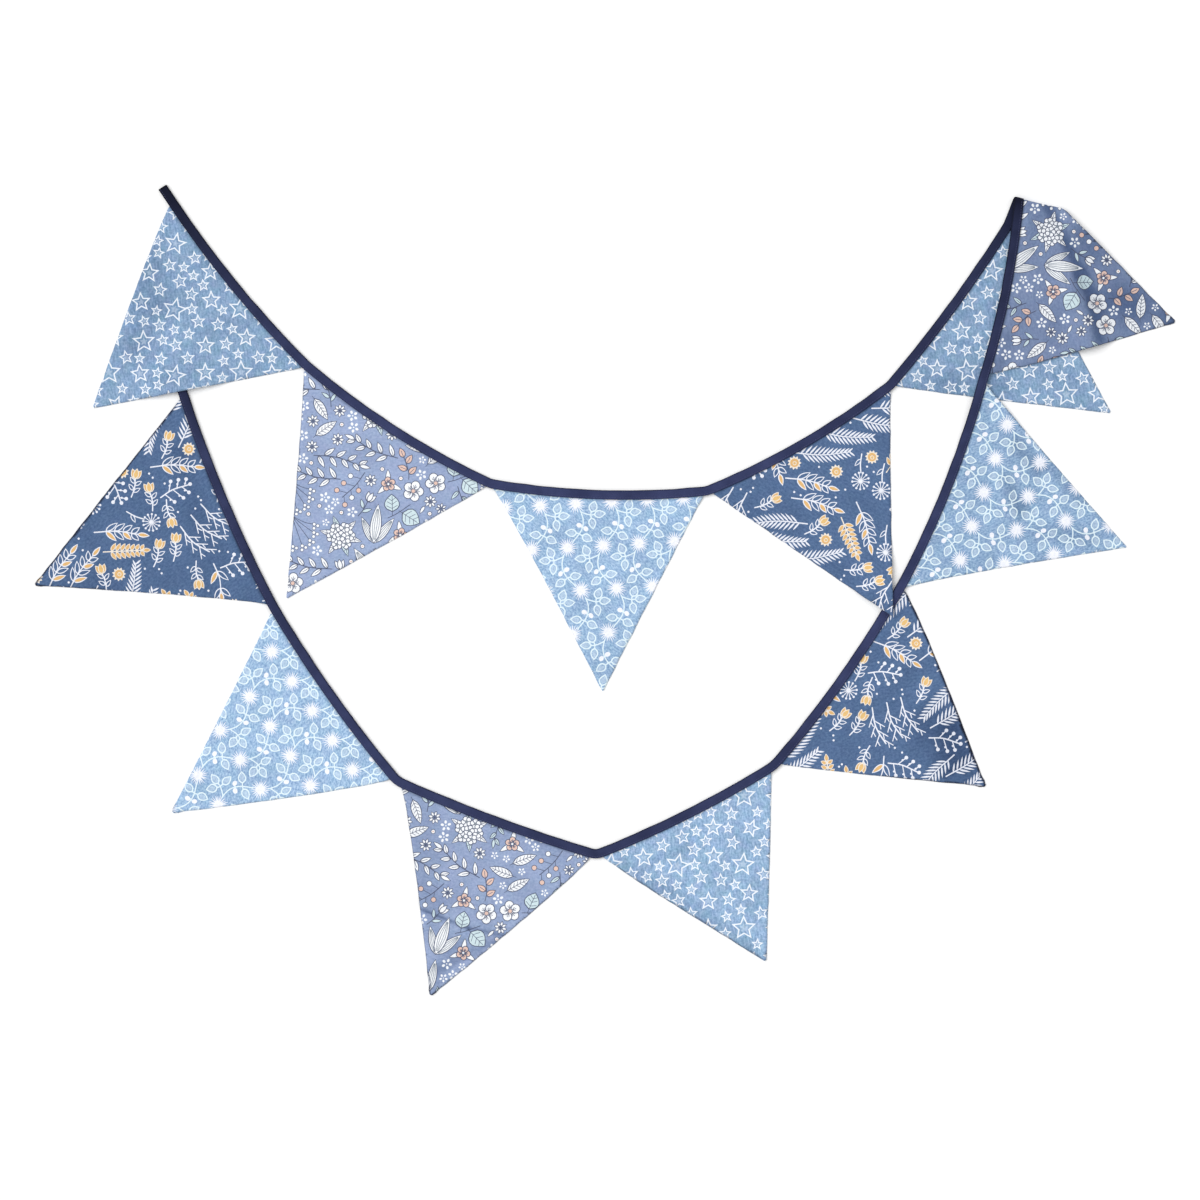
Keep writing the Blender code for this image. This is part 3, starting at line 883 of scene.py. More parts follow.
def cottonMaterial(kind):
    cotton = cottons[kind]
    material, shader = newMaterial(cotton["name"])
    clothMap = addNode(material, "ShaderNodeUVMap", {"uv_map": "clothMap"})  # one unit is 100 mm

    # the ground: streaks of uneven yarn and a finer grain
    long, narrow, turn = cotton["streak"]
    yarns = addNode(material, "ShaderNodeMapping", {"vector_type": "TEXTURE"},
                    {"Vector": (clothMap, "UV"), "Rotation": (0.0, 0.0, math.radians(turn)),
                     "Scale": (long / 100, narrow / 100, 1.0)})
    streaks = addNode(material, "ShaderNodeTexNoise", None,
                      {"Vector": (yarns, "Vector"), "Scale": 1.0, "Detail": 3.0, "Roughness": 0.6})
    grain = addNode(material, "ShaderNodeTexNoise", None,
                    {"Vector": (clothMap, "UV"), "Scale": 42.0, "Detail": 1.0})
    mottle = addNode(material, "ShaderNodeMix", {"data_type": "FLOAT"},
                     {"Factor": 0.4, "A": (streaks, "Fac"), "B": (grain, "Fac")})
    ground = addNode(material, "ShaderNodeValToRGB", None, {"Fac": (mottle, "Result")})
    low, middle, high = cotton["ground"]
    setRamp(ground, ((0.38, low), (0.5, middle), (0.62, high)))

    # patches that lean to green or to violet, as in washed indigo
    wash = cotton["wash"]
    patches = addNode(material, "ShaderNodeTexNoise", None,
                      {"Vector": (clothMap, "UV"), "Scale": 9.0, "Detail": 2.0})
    lean = addNode(material, "ShaderNodeVectorMath", {"operation": "MULTIPLY_ADD"},
                   {0: (patches, "Color"), 1: (0.34 * wash, 0.2 * wash, 0.16 * wash),
                    2: (1 - 0.17 * wash, 1 - 0.1 * wash, 1 - 0.08 * wash)})
    leaning = addNode(material, "ShaderNodeVectorMath", {"operation": "MULTIPLY"},
                      {0: (ground, "Color"), 1: (lean, "Vector")})

    # darker parts of a flag
    # from uneven dye, and painted shade along folds and creases
    tone = addNode(material, "ShaderNodeAttribute", {"attribute_name": "tone"})
    tonedAndShaded = addNode(material, "ShaderNodeMix", multiplied,
                    {"Factor": (tone, "Fac"), "A": (leaning, "Vector"), "B": linear("#7d8fa6")})

    # the printed inks sit in the cloth, so the weave breaks them up a little
    ink = addNode(material, "ShaderNodeAttribute", {"attribute_name": "ink"})
    worn = addNode(material, "ShaderNodeMapRange", None,
                   {"Value": (grain, "Fac"), "From Min": 0.3, "From Max": 0.6, "To Min": 0.84, "To Max": 1.0})
    amount = addNode(material, "ShaderNodeMath", {"operation": "MULTIPLY"},
                     {0: (ink, "Alpha"), 1: (worn, "Result")})
    printed = addNode(material, "ShaderNodeMix", {"data_type": "RGBA"},
                      {"Factor": (amount, "Value"), "A": (tonedAndShaded, "Result"), "B": (ink, "Color")})

    # the print darkens less than the ground under the dye tone and the painted fold shade
    inkToneAndShade = addNode(material, "ShaderNodeMath", {"operation": "MULTIPLY"}, {0: (tone, "Fac"), 1: 0.35})
    printToneAndShade = addNode(material, "ShaderNodeMix", multiplied,
                     {"Factor": (inkToneAndShade, "Value"), "A": (printed, "Result"), "B": linear("#8f9db0")})

    # painted shade: the turned edge is darker where the cloth rolls under, and so are the blunt points' rims;
    # a painted shadow lies below the tape's open edge
    edge = addNode(material, "ShaderNodeAttribute", {"attribute_name": "edgeShade"})
    shaded = addNode(material, "ShaderNodeMix", multiplied,
                     {"Factor": (edge, "Fac"), "A": (printToneAndShade, "Result"), "B": linear("#3c4560")})
    join(material, shaded, "Result", shader, "Base Color")

    # the weave itself: threads about 0.8 mm apart, twice the real spacing so that they show
    warp, weft = (addNode(material, "ShaderNodeTexWave", {"bands_direction": direction},
                          {"Vector": (clothMap, "UV"), "Scale": 38.0, "Distortion": 1.2, "Detail": 1.0})
                  for direction in ("X", "Y"))
    weave = addNode(material, "ShaderNodeMath", {"operation": "MAXIMUM"},
                    {0: (warp, "Fac"), 1: (weft, "Fac")})
    bump = addNode(material, "ShaderNodeBump", None,
                   {"Strength": 0.25, "Distance": 0.0002, "Height": (weave, "Value")})
    join(material, bump, "Normal", shader, "Normal")
    rough = addNode(material, "ShaderNodeMapRange", None,
                    {"Value": (weave, "Value"), "To Min": 0.93, "To Max": 0.82})
    join(material, rough, "Result", shader, "Roughness")
    shader.inputs["Specular IOR Level"].default_value = 0.25
    shader.inputs["Sheen Weight"].default_value = 0.08
    shader.inputs["Sheen Roughness"].default_value = 0.5
    return material


cottonMaterials = {kind: cottonMaterial(kind) for kind in cottons}


def tapeMaterial():
    # woven cotton bias tape: dense dark navy with fine slanting threads and pressed edges, with painted shade
    # at its edges, cut ends and fold
    material, shader = newMaterial("woven_cotton_bias_tape")
    clothMap = addNode(material, "ShaderNodeUVMap", {"uv_map": "clothMap"})
    slanted = addNode(material, "ShaderNodeMapping", None,
                      {"Vector": (clothMap, "UV"), "Rotation": (0.0, 0.0, math.radians(45))})
    threads = addNode(material, "ShaderNodeTexWave", None,
                      {"Vector": (slanted, "Vector"), "Scale": 42.0, "Distortion": 2.0, "Detail": 2.0})
    patches = addNode(material, "ShaderNodeTexNoise", None,
                      {"Vector": (clothMap, "UV"), "Scale": 3.2, "Detail": 4.0, "Roughness": 0.6})
    blend = addNode(material, "ShaderNodeMix", {"data_type": "FLOAT"},
                    {"Factor": 0.3, "A": (patches, "Fac"), "B": (threads, "Fac")})
    colour = addNode(material, "ShaderNodeValToRGB", None, {"Fac": (blend, "Result")})
    setRamp(colour, ((0.3, "#292f4f"), (0.55, "#363d61"), (0.8, "#434b73")))
    # darker in places along the tape, with painted shade at the fold
    tone = addNode(material, "ShaderNodeAttribute", {"attribute_name": "tone"})
    tonedAndShaded = addNode(material, "ShaderNodeMix", multiplied,
                    {"Factor": (tone, "Fac"), "A": (colour, "Color"), "B": linear("#55555e")})
    # painted shade at the tape's folded side, open edge and cut ends
    edge = addNode(material, "ShaderNodeAttribute", {"attribute_name": "edgeShade"})
    shaded = addNode(material, "ShaderNodeMix", multiplied,
                     {"Factor": (edge, "Fac"), "A": (tonedAndShaded, "Result"), "B": linear("#84848a")})
    join(material, shaded, "Result", shader, "Base Color")
    bump = addNode(material, "ShaderNodeBump", None,
                   {"Strength": 0.3, "Distance": 0.0002, "Height": (threads, "Fac")})
    join(material, bump, "Normal", shader, "Normal")
    shader.inputs["Roughness"].default_value = 0.85
    shader.inputs["Specular IOR Level"].default_value = 0.12
    return material


def threadMaterial():
    # spun polyester sewing thread: smoother than the tape, so each stitch catches a little light
    material, shader = newMaterial("spun_polyester_thread")
    where = addNode(material, "ShaderNodeTexCoord")
    twist = addNode(material, "ShaderNodeTexNoise", None, {"Vector": (where, "Object"), "Scale": 900.0})
    colour = addNode(material, "ShaderNodeValToRGB", None, {"Fac": (twist, "Fac")})
    setRamp(colour, ((0.35, "#303258"), (0.65, "#454873")))
    join(material, colour, "Color", shader, "Base Color")
    shader.inputs["Roughness"].default_value = 0.5
    return material


def floorMaterial():
    # matt board: an even white with no sheen
    material, shader = newMaterial("matt_white_board")
    shader.inputs["Base Color"].default_value = linear("#f8f8f8")
    shader.inputs["Roughness"].default_value = 0.9
    shader.inputs["Specular IOR Level"].default_value = 0.1
    return material


# building meshes

def buildMesh(name, places, faces, material, uv, shades=None, faceInks=None):
    # places in metres, faces as lists of corners, uv in millimetres and shades for each place
    mesh = bpy.data.meshes.new(name)
    mesh.from_pydata(places.tolist(), [], faces)
    mesh.shade_smooth()
    mesh.materials.append(material)
    corner = np.empty(len(mesh.loops), np.int32)
    mesh.loops.foreach_get("vertex_index", corner)
    layer = mesh.uv_layers.new(name="clothMap")
    layer.data.foreach_set("uv", (uv[corner] / 100.0).astype(np.float32).ravel())
    for kind, values in (shades or {}).items():
        attribute = mesh.attributes.new(kind, "FLOAT", "POINT")
        attribute.data.foreach_set("value", values.astype(np.float32))
    if faceInks is not None:
        attribute = mesh.attributes.new("ink", "FLOAT_COLOR", "FACE")
        attribute.data.foreach_set("color", faceInks.astype(np.float32).ravel())
    obj = bpy.data.objects.new(name, mesh)
    bpy.context.scene.collection.objects.link(obj)
    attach(obj, "root")
    return obj


# the flags

sewn = {
    "grid": 2.7,  # spacing of the points that carry the folds
    "edgeZone": 1.7,  # width of the edge, which has rows of its own
    "edgeRows": (0.22, 0.55, 1.1),
    "creaseRows": ((-60, 70, 1.4), (-5.6, 5.8, 0.7)),  # from, to and spacing, along and across the crease
    "half": 0.5,  # half of the two layers' thickness
    "roll": 1.1,  # radius of the turned edge
    "puff": 0.18,  # air between the layers
    "seam": 0.34,  # extra height over the seam allowances
    "seamWidth": 7.0,
    "wave": 0.28,  # unevenness of the sewn sides
    "waveSizes": ((26, 1.0, 7), (9, 0.5, 9)),  # size of the waves, share of the height and seed
    "waveFades": (12.0, 10.0),  # towards the tape and towards the point
    "billow": 0.55,
    "billowSizes": ((62, 1.0, 3), (21, 0.35, 5)),
    "pucker": 0.3,
    "puckerDepth": 13.0,  # how far below the tape the puckers reach
    "calmTop": 6.0,  # below the tape, where folds and billows begin
    "calmSides": 18.0,
    "bluntPoint": (11.0, 0.5),  # length and height of the thicker point
    "bulge": (2.5, 3.0),  # from the flag's point to the middle of its bulge, and the bulge's half length
    "sideShade": (0.8, 0.1),  # width and strength
    "tapeShade": (2.6, 0.45),
    "toneSway": (0.09, 50),  # unevenness of a flag's tone, and its size
}

# soft folds and creases: along and below at each end, height, half width; a minus sign makes a trough
creases = {
    "flag_01": ((150, 20, 190, 90, 0.7, 16), (60, 40, 80, 110, 0.6, 18)),
    "flag_02": ((40, 60, 150, 120, 0.6, 20), (110, 120, 140, 190, 0.5, 12)),
    "flag_03": ((60, 30, 170, 50, 0.5, 18), (100, 90, 130, 150, 0.6, 14)),
    "flag_04": ((40, 50, 110, 150, 0.8, 18), (150, 30, 160, 110, 0.6, 16)),
    "flag_05": ((50, 40, 150, 60, 0.6, 18), (90, 90, 120, 160, 0.6, 14)),
    "flag_06": ((75, 54, 190, 112, 6.0, 32), (60, 16, 137, 82, 3.0, 17), (29, 27, 135, 103, -1.6, 9),
                (135, 103, 172, 115, -1.2, 10), (190, 30, 215, 8, 1.2, 10), (70, 90, 120, 130, 1.6, 14)),
    "flag_07": ((60, 50, 170, 70, 0.9, 20), (100, 78, 120, 100, -0.9, 12), (50, 60, 66, 95, -0.8, 10),
                (110, 130, 120, 180, 0.8, 12)),
    "flag_08": ((50, 50, 150, 40, 1.2, 14), (94, 66, 167, 34, -0.9, 8), (80, 95, 150, 85, 1.3, 14),
                (145, 160, 115, 168, -1.0, 5), (100, 120, 130, 130, 1.2, 14), (60, 30, 80, 60, 0.8, 12)),
    "flag_09": ((168, 29, 121, 37, -0.9, 10), (60, 90, 120, 120, 0.9, 14), (100, 20, 130, 70, 0.7, 14)),
    "flag_10": ((156, 114, 91, 115, 2.5, 18), (160, 121, 100, 123, -1.4, 5), (100, 123, 54, 115, -0.9, 5),
                (122, 184, 66, 124, -0.6, 6), (180, 12, 176, 40, -0.9, 5), (72, 12, 76, 36, -0.8, 5)),
    "flag_11": ((40, 40, 130, 70, 0.8, 16), (110, 110, 130, 160, 0.7, 14)),
    "flag_12": ((70, 30, 150, 60, 0.8, 18), (110, 100, 130, 170, 0.8, 14)),
}

# sides where the back layer rolls to the front, with painted shade along them: from one fall to another,
# width, strength
rolledSideShades = {
    "flag_02": (("start", 0.0, 0.7, 0.9, 0.6),),
    "flag_04": (("start", 0.2, 0.9, 0.7, 0.3),),
    "flag_06": (("start", 0.1, 1.0, 0.8, 0.7), ("end", 0.3, 1.0, 0.8, 0.6)),
    "flag_08": (("start", 0.0, 1.0, 1.5, 1.0), ("start", 0.42, 1.0, 2.6, 1.0), ("end", 0.5, 1.0, 1.1, 0.8)),
    "flag_09": (("end", 0.1, 1.0, 1.5, 0.6), ("start", 0.25, 0.5, 0.7, 0.4)),
    "flag_10": (("end", 0.02, 1.0, 0.9, 0.6), ("start", 0.1, 1.0, 0.9, 0.5)),
    "flag_12": (("end", 0.03, 0.97, 1.6, 1.0), ("start", 0.7, 1.0, 0.8, 0.6)),
}

# darker parts of a flag, from uneven dye and from painted shade along folds and creases: an even amount
# first, then bands as above
tonesAndShades = {
    "flag_01": (0.24, (20, 55, 75, 90, 0.22, 40), (96, 122, 110, 140, 0.14, 30), (60, 8, 110, 14, 0.12, 14)),
    "flag_02": (0.08, (200, 30, 225, 20, 0.06, 30)),
    "flag_03": (0.08, (120, 150, 125, 200, 0.08, 40)),
    "flag_04": (0.08, (30, 30, 60, 60, 0.08, 40)),
    "flag_05": (0.27, (20, 30, 60, 90, 0.14, 40)),
    "flag_06": (0.53, (29, 27, 106, 82, 0.42, 12), (106, 82, 135, 103, 0.5, 14),
                (135, 103, 174, 116, 0.42, 14), (128, 128, 134, 190, 0.34, 40), (60, 80, 90, 110, 0.2, 26),
                (228, 8, 190, 14, 0.14, 14)),
    "flag_07": (0.24, (58, 98, 84, 150, 0.2, 12), (92, 60, 118, 88, 0.34, 16), (66, 89, 50, 60, 0.3, 16),
                (130, 120, 120, 170, 0.2, 20)),
    "flag_08": (0.08, (102, 128, 120, 160, 0.52, 52), (145, 160, 115, 168, 0.25, 6),
                (167, 40, 94, 72, 0.14, 7)),
    "flag_09": (0.0, (168, 29, 121, 37, 0.2, 12), (60, 60, 80, 120, 0.1, 24), (196, 20, 110, 166, 0.24, 18),
                (118, 70, 96, 100, 0.12, 20)),
    "flag_10": (0.15, (190, 40, 150, 110, 0.14, 34), (110, 150, 120, 190, 0.14, 24),
                (160, 121, 100, 123, 0.55, 3.4), (100, 123, 54, 115, 0.4, 4), (122, 184, 66, 124, 0.24, 9)),
    "flag_11": (0.03, (90, 120, 110, 180, 0.08, 30)),
    "flag_12": (0.15, (80, 147, 110, 190, 0.14, 30), (60, 30, 200, 26, 0.1, 20)),
}

# thicker, blunter points, where the turned seams bunch up: bulge and the strength of painted shade round
# their rim
nubs = {"flag_06": (0.7, 0.6), "flag_08": (1.3, 1.0), "flag_09": (0.3, 0.4), "flag_10": (0.9, 0.8),
        "flag_11": (0.8, 0.3), "flag_12": (0.9, 0.9)}


def bands(points, rows):
    # the sum of soft bands; each has its ends along and below, its strength and its half width
    total = np.zeros(len(points))
    for fromX, fromY, toX, toY, strength, half in rows:
        a, b = np.array([fromX, fromY], float), np.array([toX, toY], float)
        share = np.clip(((points - a) @ (b - a)) / ((b - a) @ (b - a)), 0, 1)
        away = np.linalg.norm(points - (a + share[:, None] * (b - a)), axis=1) / half
        total += strength * ease(1.0 - away)
    return total


def flagOutline(flag, number):
    # the flag's own outline in its own measures, with the slight waves of a sewn side
    fromTape, fromPoint = sewn["waveFades"]
    downs = np.concatenate([np.linspace(0, fromTape, 6)[:-1], np.linspace(fromTape, flag["drop"], 76)])
    shares = np.linspace(0, 1, 60)
    top = toLocal(flag, onFlag(flag, shares, -layout["tuck"]))
    up, half = sewn["bulge"]
    bulge = nubs.get(flag["name"], (0.0, 0.0))[0] * np.exp(-((flag["drop"] - downs - up) / half) ** 2)
    sides = []
    for share in (1.0, 0.0):
        line = toLocal(flag, onFlag(flag, share, downs))
        run = np.gradient(line, axis=0)
        run /= np.linalg.norm(run, axis=1)[:, None]
        out = np.stack([run[:, 1], -run[:, 0]], -1) * (1 if share else -1)
        fade = ease(downs / fromTape) * ease((flag["drop"] - downs) / fromPoint)
        wave = sum(part * softNoise(downs, np.zeros_like(downs), size, number * seed + int(share))
                   for size, part, seed in sewn["waveSizes"])
        sides.append(line + out * (sewn["wave"] * wave * fade + bulge)[:, None])
    end, start = sides
    middle = (end[-1] + start[-1]) / 2
    across = (start[-1] - end[-1]) / 2
    below = np.array([-across[1], across[0]])
    below *= np.sign(below[1]) * 0.8
    turn = np.linspace(0, math.pi, 9)[1:-1]
    tip = middle - np.cos(turn)[:, None] * across + np.sin(turn)[:, None] * below
    loop = np.concatenate([top, end, tip, start[::-1]])
    return loop, {"end": end, "start": start}


def gridPoints(flag, loop):
    # hexagonal grid, the rolled edge's own rows, and close rows over the crease
    step = sewn["grid"]
    low, high = loop.min(0), loop.max(0)
    rows = []
    for j, y in enumerate(np.arange(low[1], high[1], step * 0.87)):
        xs = np.arange(low[0] + (j % 2) * step / 2, high[0], step)
        rows.append(np.stack([xs, np.full(len(xs), y)], -1))
    points = np.concatenate(rows)
    if flag["name"] == "flag_06":
        along, across = np.meshgrid(*(np.arange(*span) for span in sewn["creaseRows"]))
        places = along.ravel()[:, None] * creaseAlong + across.ravel()[:, None] * creaseInward
        points = np.concatenate([points, toLocal(flag, places)])
    points = points[isInside(points, loop)]
    points = points[segmentDistance(points, loop) > sewn["edgeZone"]]
    nextOne = np.roll(loop, -1, 0)
    run = nextOne - loop
    length = np.linalg.norm(run, axis=1)
    keep = length > 1e-6
    inward = np.stack([-run[:, 1], run[:, 0]], -1)[keep] / length[keep][:, None]
    for inset in sewn["edgeRows"]:
        for side in (1, -1):
            ring = (loop + nextOne)[keep] / 2 + side * inset * inward
            ring = ring[isInside(ring, loop)]
            ring = ring[segmentDistance(ring, loop) > inset * 0.8]
            points = np.concatenate([points, ring])
    return points


def triangulate(loop, points, shapes):
    # one triangulation of the flag in which every printed shape has its own triangles
    vectors = [Vector(p) for p in loop]
    faces = [list(range(len(loop)))]
    inks = ["ground"]
    for ink, shape in shapes:
        start = len(vectors)
        ahead = np.roll(shape, -1, 0)
        area = (shape[:, 0] * ahead[:, 1] - ahead[:, 0] * shape[:, 1]).sum()
        vectors += [Vector(p) for p in (shape if area > 0 else shape[::-1])]
        faces.append(list(range(start, start + len(shape))))
        inks.append(ink)
    vectors += [Vector(p) for p in points]
    places, edges, triangles, _, _, owners = geometry.delaunay_2d_cdt(vectors, [], faces, 0, 1e-4, True)
    triangles, inks = zip(*[(tri, inks[max(own)]) for tri, own in zip(triangles, owners) if 0 in own])
    used, order = np.unique(triangles, return_inverse=True)
    return np.array([tuple(p) for p in places])[used], order.reshape(-1, 3), inks


def printAxes(flag):
    # origin and two directions of the flag's piece of the print, in the flag's own measures
    x, y, turn = cottons[flag["print"]]["pieces"][flag["name"]]
    c, t = math.cos(math.radians(turn)), math.sin(math.radians(turn))
    corners = np.array([fromAbove(flag, place) for place in ((x, y), (x + c, y + t), (x + t, y - c))])
    origin, across, down = toLocal(flag, corners)
    return origin, np.array([across - origin, down - origin])


def flagShapes(flag, loop, origin, axes):
    tile, size = prints[flag["print"]]
    low, high = loop.min(0), loop.max(0)
    shapes = tiled(tile, size, (low[0], low[1], high[0], high[1]), origin, axes)
    corners = np.concatenate([points for ink, points in shapes])
    inside = isInside(corners, loop)
    kept, at = [], 0
    for ink, points in shapes:
        if inside[at:at + len(points)].any():
            kept.append((ink, points))
        at += len(points)
    return kept


def doubledArea(points, triangles):
    # twice the area of each triangle; it is below 0 where the triangle lies turned over
    a, b, c = (points[triangles[:, i]] for i in range(3))
    return (b[:, 0] - a[:, 0]) * (c[:, 1] - a[:, 1]) - (b[:, 1] - a[:, 1]) * (c[:, 0] - a[:, 0])


def measure(flag, loop, sides, points):
    # from each point to the outline, to the sewn sides and to the flag's point, and down from the tape
    arc = flagArcs[flag["name"]]
    tapeEdge = toLocal(flag, beside(arc, np.linspace(0, arc["length"], 60), 0.0))
    near = {side: segmentDistance(points, line, False) for side, line in sides.items()}
    near["sides"] = np.minimum(near["end"], near["start"])
    near["edge"] = segmentDistance(points, loop)
    near["point"] = np.linalg.norm(points - (sides["end"][-1] + sides["start"][-1]) / 2, axis=1)
    near["down"] = points[:, 1] - np.interp(points[:, 0], tapeEdge[:, 0], tapeEdge[:, 1])
    near["free"] = ease(near["down"] / sewn["calmTop"])  # 0 in the tape and 1 a little below it
    return near


def middleLevel(flag, number, points, place, near):
    # height of the middle of the cloth
    u, v = points.T
    rise = layout["tapeLevel"] - layout["flagLevel"]
    level = layout["flagLevel"] + rise * ease(1.0 - near["down"] / layout["ramp"])
    level = level + bands(points, creases[flag["name"]]) * near["free"]
    calm = ease(near["sides"] / sewn["calmSides"]) * near["free"]
    for size, part, seed in sewn["billowSizes"]:
        level = level + part * sewn["billow"] * (0.5 + 0.5 * softNoise(u, v, size, number * seed)) * calm
    pulled = np.clip(softNoise(u, v * 0.15, 15, number + 40), -0.4, 1) + 0.4
    puckers = sewn["pucker"] * pulled * np.exp(-np.maximum(near["down"], 0) / sewn["puckerDepth"])
    level = np.maximum(level + puckers * near["free"], layout["flagLevel"])  # nothing dips below the surface
    if flag["name"] in liesOver:
        raised = layout["overTape"] - layout["flagLevel"] + sewn["half"]
        level = level + raised * cover(foldPlan(place), liesOver[flag["name"]])
    return level


def faceHeights(number, points, place, near, rim):
    # both faces' distance from the middle: rolled edge, and on the face that lies up also air,
    # seam allowances and their puckers
    roll = np.sqrt(np.clip(1.0 - (1.0 - np.clip(near["edge"] / sewn["roll"], 0, 1)) ** 2, 0, 1))
    roll[rim] = 0.0
    seam = ease(near["sides"] / 1.6) * ease((sewn["seamWidth"] + 1.2 - near["sides"]) / 1.8)
    puckers = 0.5 + 0.5 * softNoise(*points.T, 8.5, number + 70)
    extra = sewn["puff"] + sewn["seam"] * seam * (0.65 + 0.7 * puckers)
    length, height = sewn["bluntPoint"]
    extra = (extra + height * ease(1.0 - near["point"] / length)) * near["free"]
    up = facesUp(place)
    return (sewn["half"] + extra * up) * roll, (sewn["half"] + extra * (1.0 - up)) * roll


def edgeShades(flag, number, points, near):
    # painted shade along the sides, stronger where the back layer rolls to the front, and round a blunt
    # point; a soft painted shadow below the tape's open edge
    u, v = points.T
    width, strength = sewn["sideShade"]
    shade = strength * (1.0 - ease(near["sides"] / width)) * near["free"]
    for side, fromFall, toFall, width, strength in rolledSideShades.get(flag["name"], ()):
        share = v / flag["drop"]
        amount = strength * ease((share - fromFall) / 0.06 + 0.5) * ease((toFall - share) / 0.06 + 0.5)
        uneven = width * (1.0 + 0.3 * softNoise(v, u * 0, 30, number))
        shade = np.maximum(shade, amount * (near[side] < uneven))
    dark = nubs.get(flag["name"], (0.0, 0.0))[1]
    pointRimShade = dark * (near["edge"] < sewn["edgeZone"]) * ease((v - flag["drop"] + 9.0) / 3.0)
    # a soft painted shadow below the tape's open edge
    width, strength = sewn["tapeShade"]
    tapeShadow = strength * (1.0 - ease(near["down"] / width)) * (near["down"] > -1.0)
    return np.maximum(np.maximum(shade, pointRimShade), tapeShadow)


# uneven dye, and painted shade along folds and creases, at each point of the flag
def clothTonesAndShades(flag, number, points):
    even, *darker = tonesAndShades[flag["name"]]
    sway, size = sewn["toneSway"]
    tone = even + bands(points, darker) + sway * softNoise(*points.T, size, number + 90)
    return np.clip(tone, 0.0, 0.95)


def makeFlag(flag, number):
    name, cotton = flag["name"], cottons[flag["print"]]
    loop, sides = flagOutline(flag, number)
    origin, axes = printAxes(flag)
    shapes = flagShapes(flag, loop, origin, axes)
    points, triangles, inks = triangulate(loop, gridPoints(flag, loop), shapes)

    # the rim: edges there belong to one triangle only
    edges = np.sort(np.concatenate([triangles[:, [0, 1]], triangles[:, [1, 2]], triangles[:, [2, 0]]]), 1)
    pairs, counts = np.unique(edges, axis=0, return_counts=True)
    rim = np.zeros(len(points), bool)
    rim[pairs[counts == 1].ravel()] = True

    # two faces that share the rim
    place, near = toFlat(flag, points), measure(flag, loop, sides, points)
    level = middleLevel(flag, number, points, place, near)
    top, bottom = faceHeights(number, points, place, near, rim)
    upper, lower = foldOver(place, level, top), foldOver(place, level, -bottom)
    inner = np.flatnonzero(~rim)
    lowerNumber = np.arange(len(points))
    lowerNumber[inner] = len(points) + np.arange(len(inner))
    faces = np.concatenate([triangles, lowerNumber[triangles][:, ::-1]])

    # each triangle runs counter-clockwise on the flat route, or it is turned
    wrong = np.tile(doubledArea(place, triangles) < 0, 2)
    faces[wrong] = faces[wrong][:, ::-1]

    palette = {ink: linear(colour)[:3] + (amount,) for ink, (colour, amount) in cotton["inks"].items()}
    palette["ground"] = (0.5, 0.5, 0.5, 0.0)
    colours = np.array([palette[ink] for ink in inks])
    uvs = (points - origin) @ axes.T + (number * 311.0, number * 173.0)
    shades = {"edgeShade": edgeShades(flag, number, points, near), "tone": clothTonesAndShades(flag, number, points)}
    obj = buildMesh(name + "_cloth", np.concatenate([upper, lower[inner]]), faces.tolist(),
                    cottonMaterials[flag["print"]], np.concatenate([uvs, uvs[inner]]),
                    {kind: np.concatenate([shade, shade[inner]]) for kind, shade in shades.items()},
                    np.concatenate([colours, colours]))
    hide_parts(name)

    area = np.abs(doubledArea(points, triangles)).sum() / 2
    width, depth = np.ptp(loop, axis=0)
    print(name, "triangles", len(faces), "shapes", len(shapes), "flat", round(width), round(depth))
    return obj, (width * mm, depth * mm), area * mm * mm


made = [makeFlag(flag, i + 1) for i, flag in enumerate(flags)]
print("made the flags")


# the bias tape and its stitches

binding = {
    "step": 3.0,
    "crown": 0.22,  # rise of each wall between the stitches and the fold
    "half": 0.5,  # half of a wall's thickness
    "stitchLine": 2.0,  # from the open edge
    "stitch": (2.3, 0.55, 0.34),  # length, width and height
    "pitch": 3.0,  # from stitch to stitch
    "stitchSway": 0.12,
    "dimple": 0.3,
    "dimpleWidth": 0.55,
    "waver": (0.22, 34, 5),  # how far the open edge wanders, over what length, and seed
    "loose": (0.12, 13, 8),  # unevenness of the folded side
    # painted shade on the tape's folded side, open edge and cut ends
    "darkFold": (8.9, 1.2, 0.75),  # where its shade starts, its width and its strength
    "darkRim": (0.9, 0.6),
    "darkEnd": 3.0,
    "bareEnd": 2.0,  # without stitches
    "lowerStitch": 0.7,  # height of a stitch on the lower face, as a share of one on the upper face
}


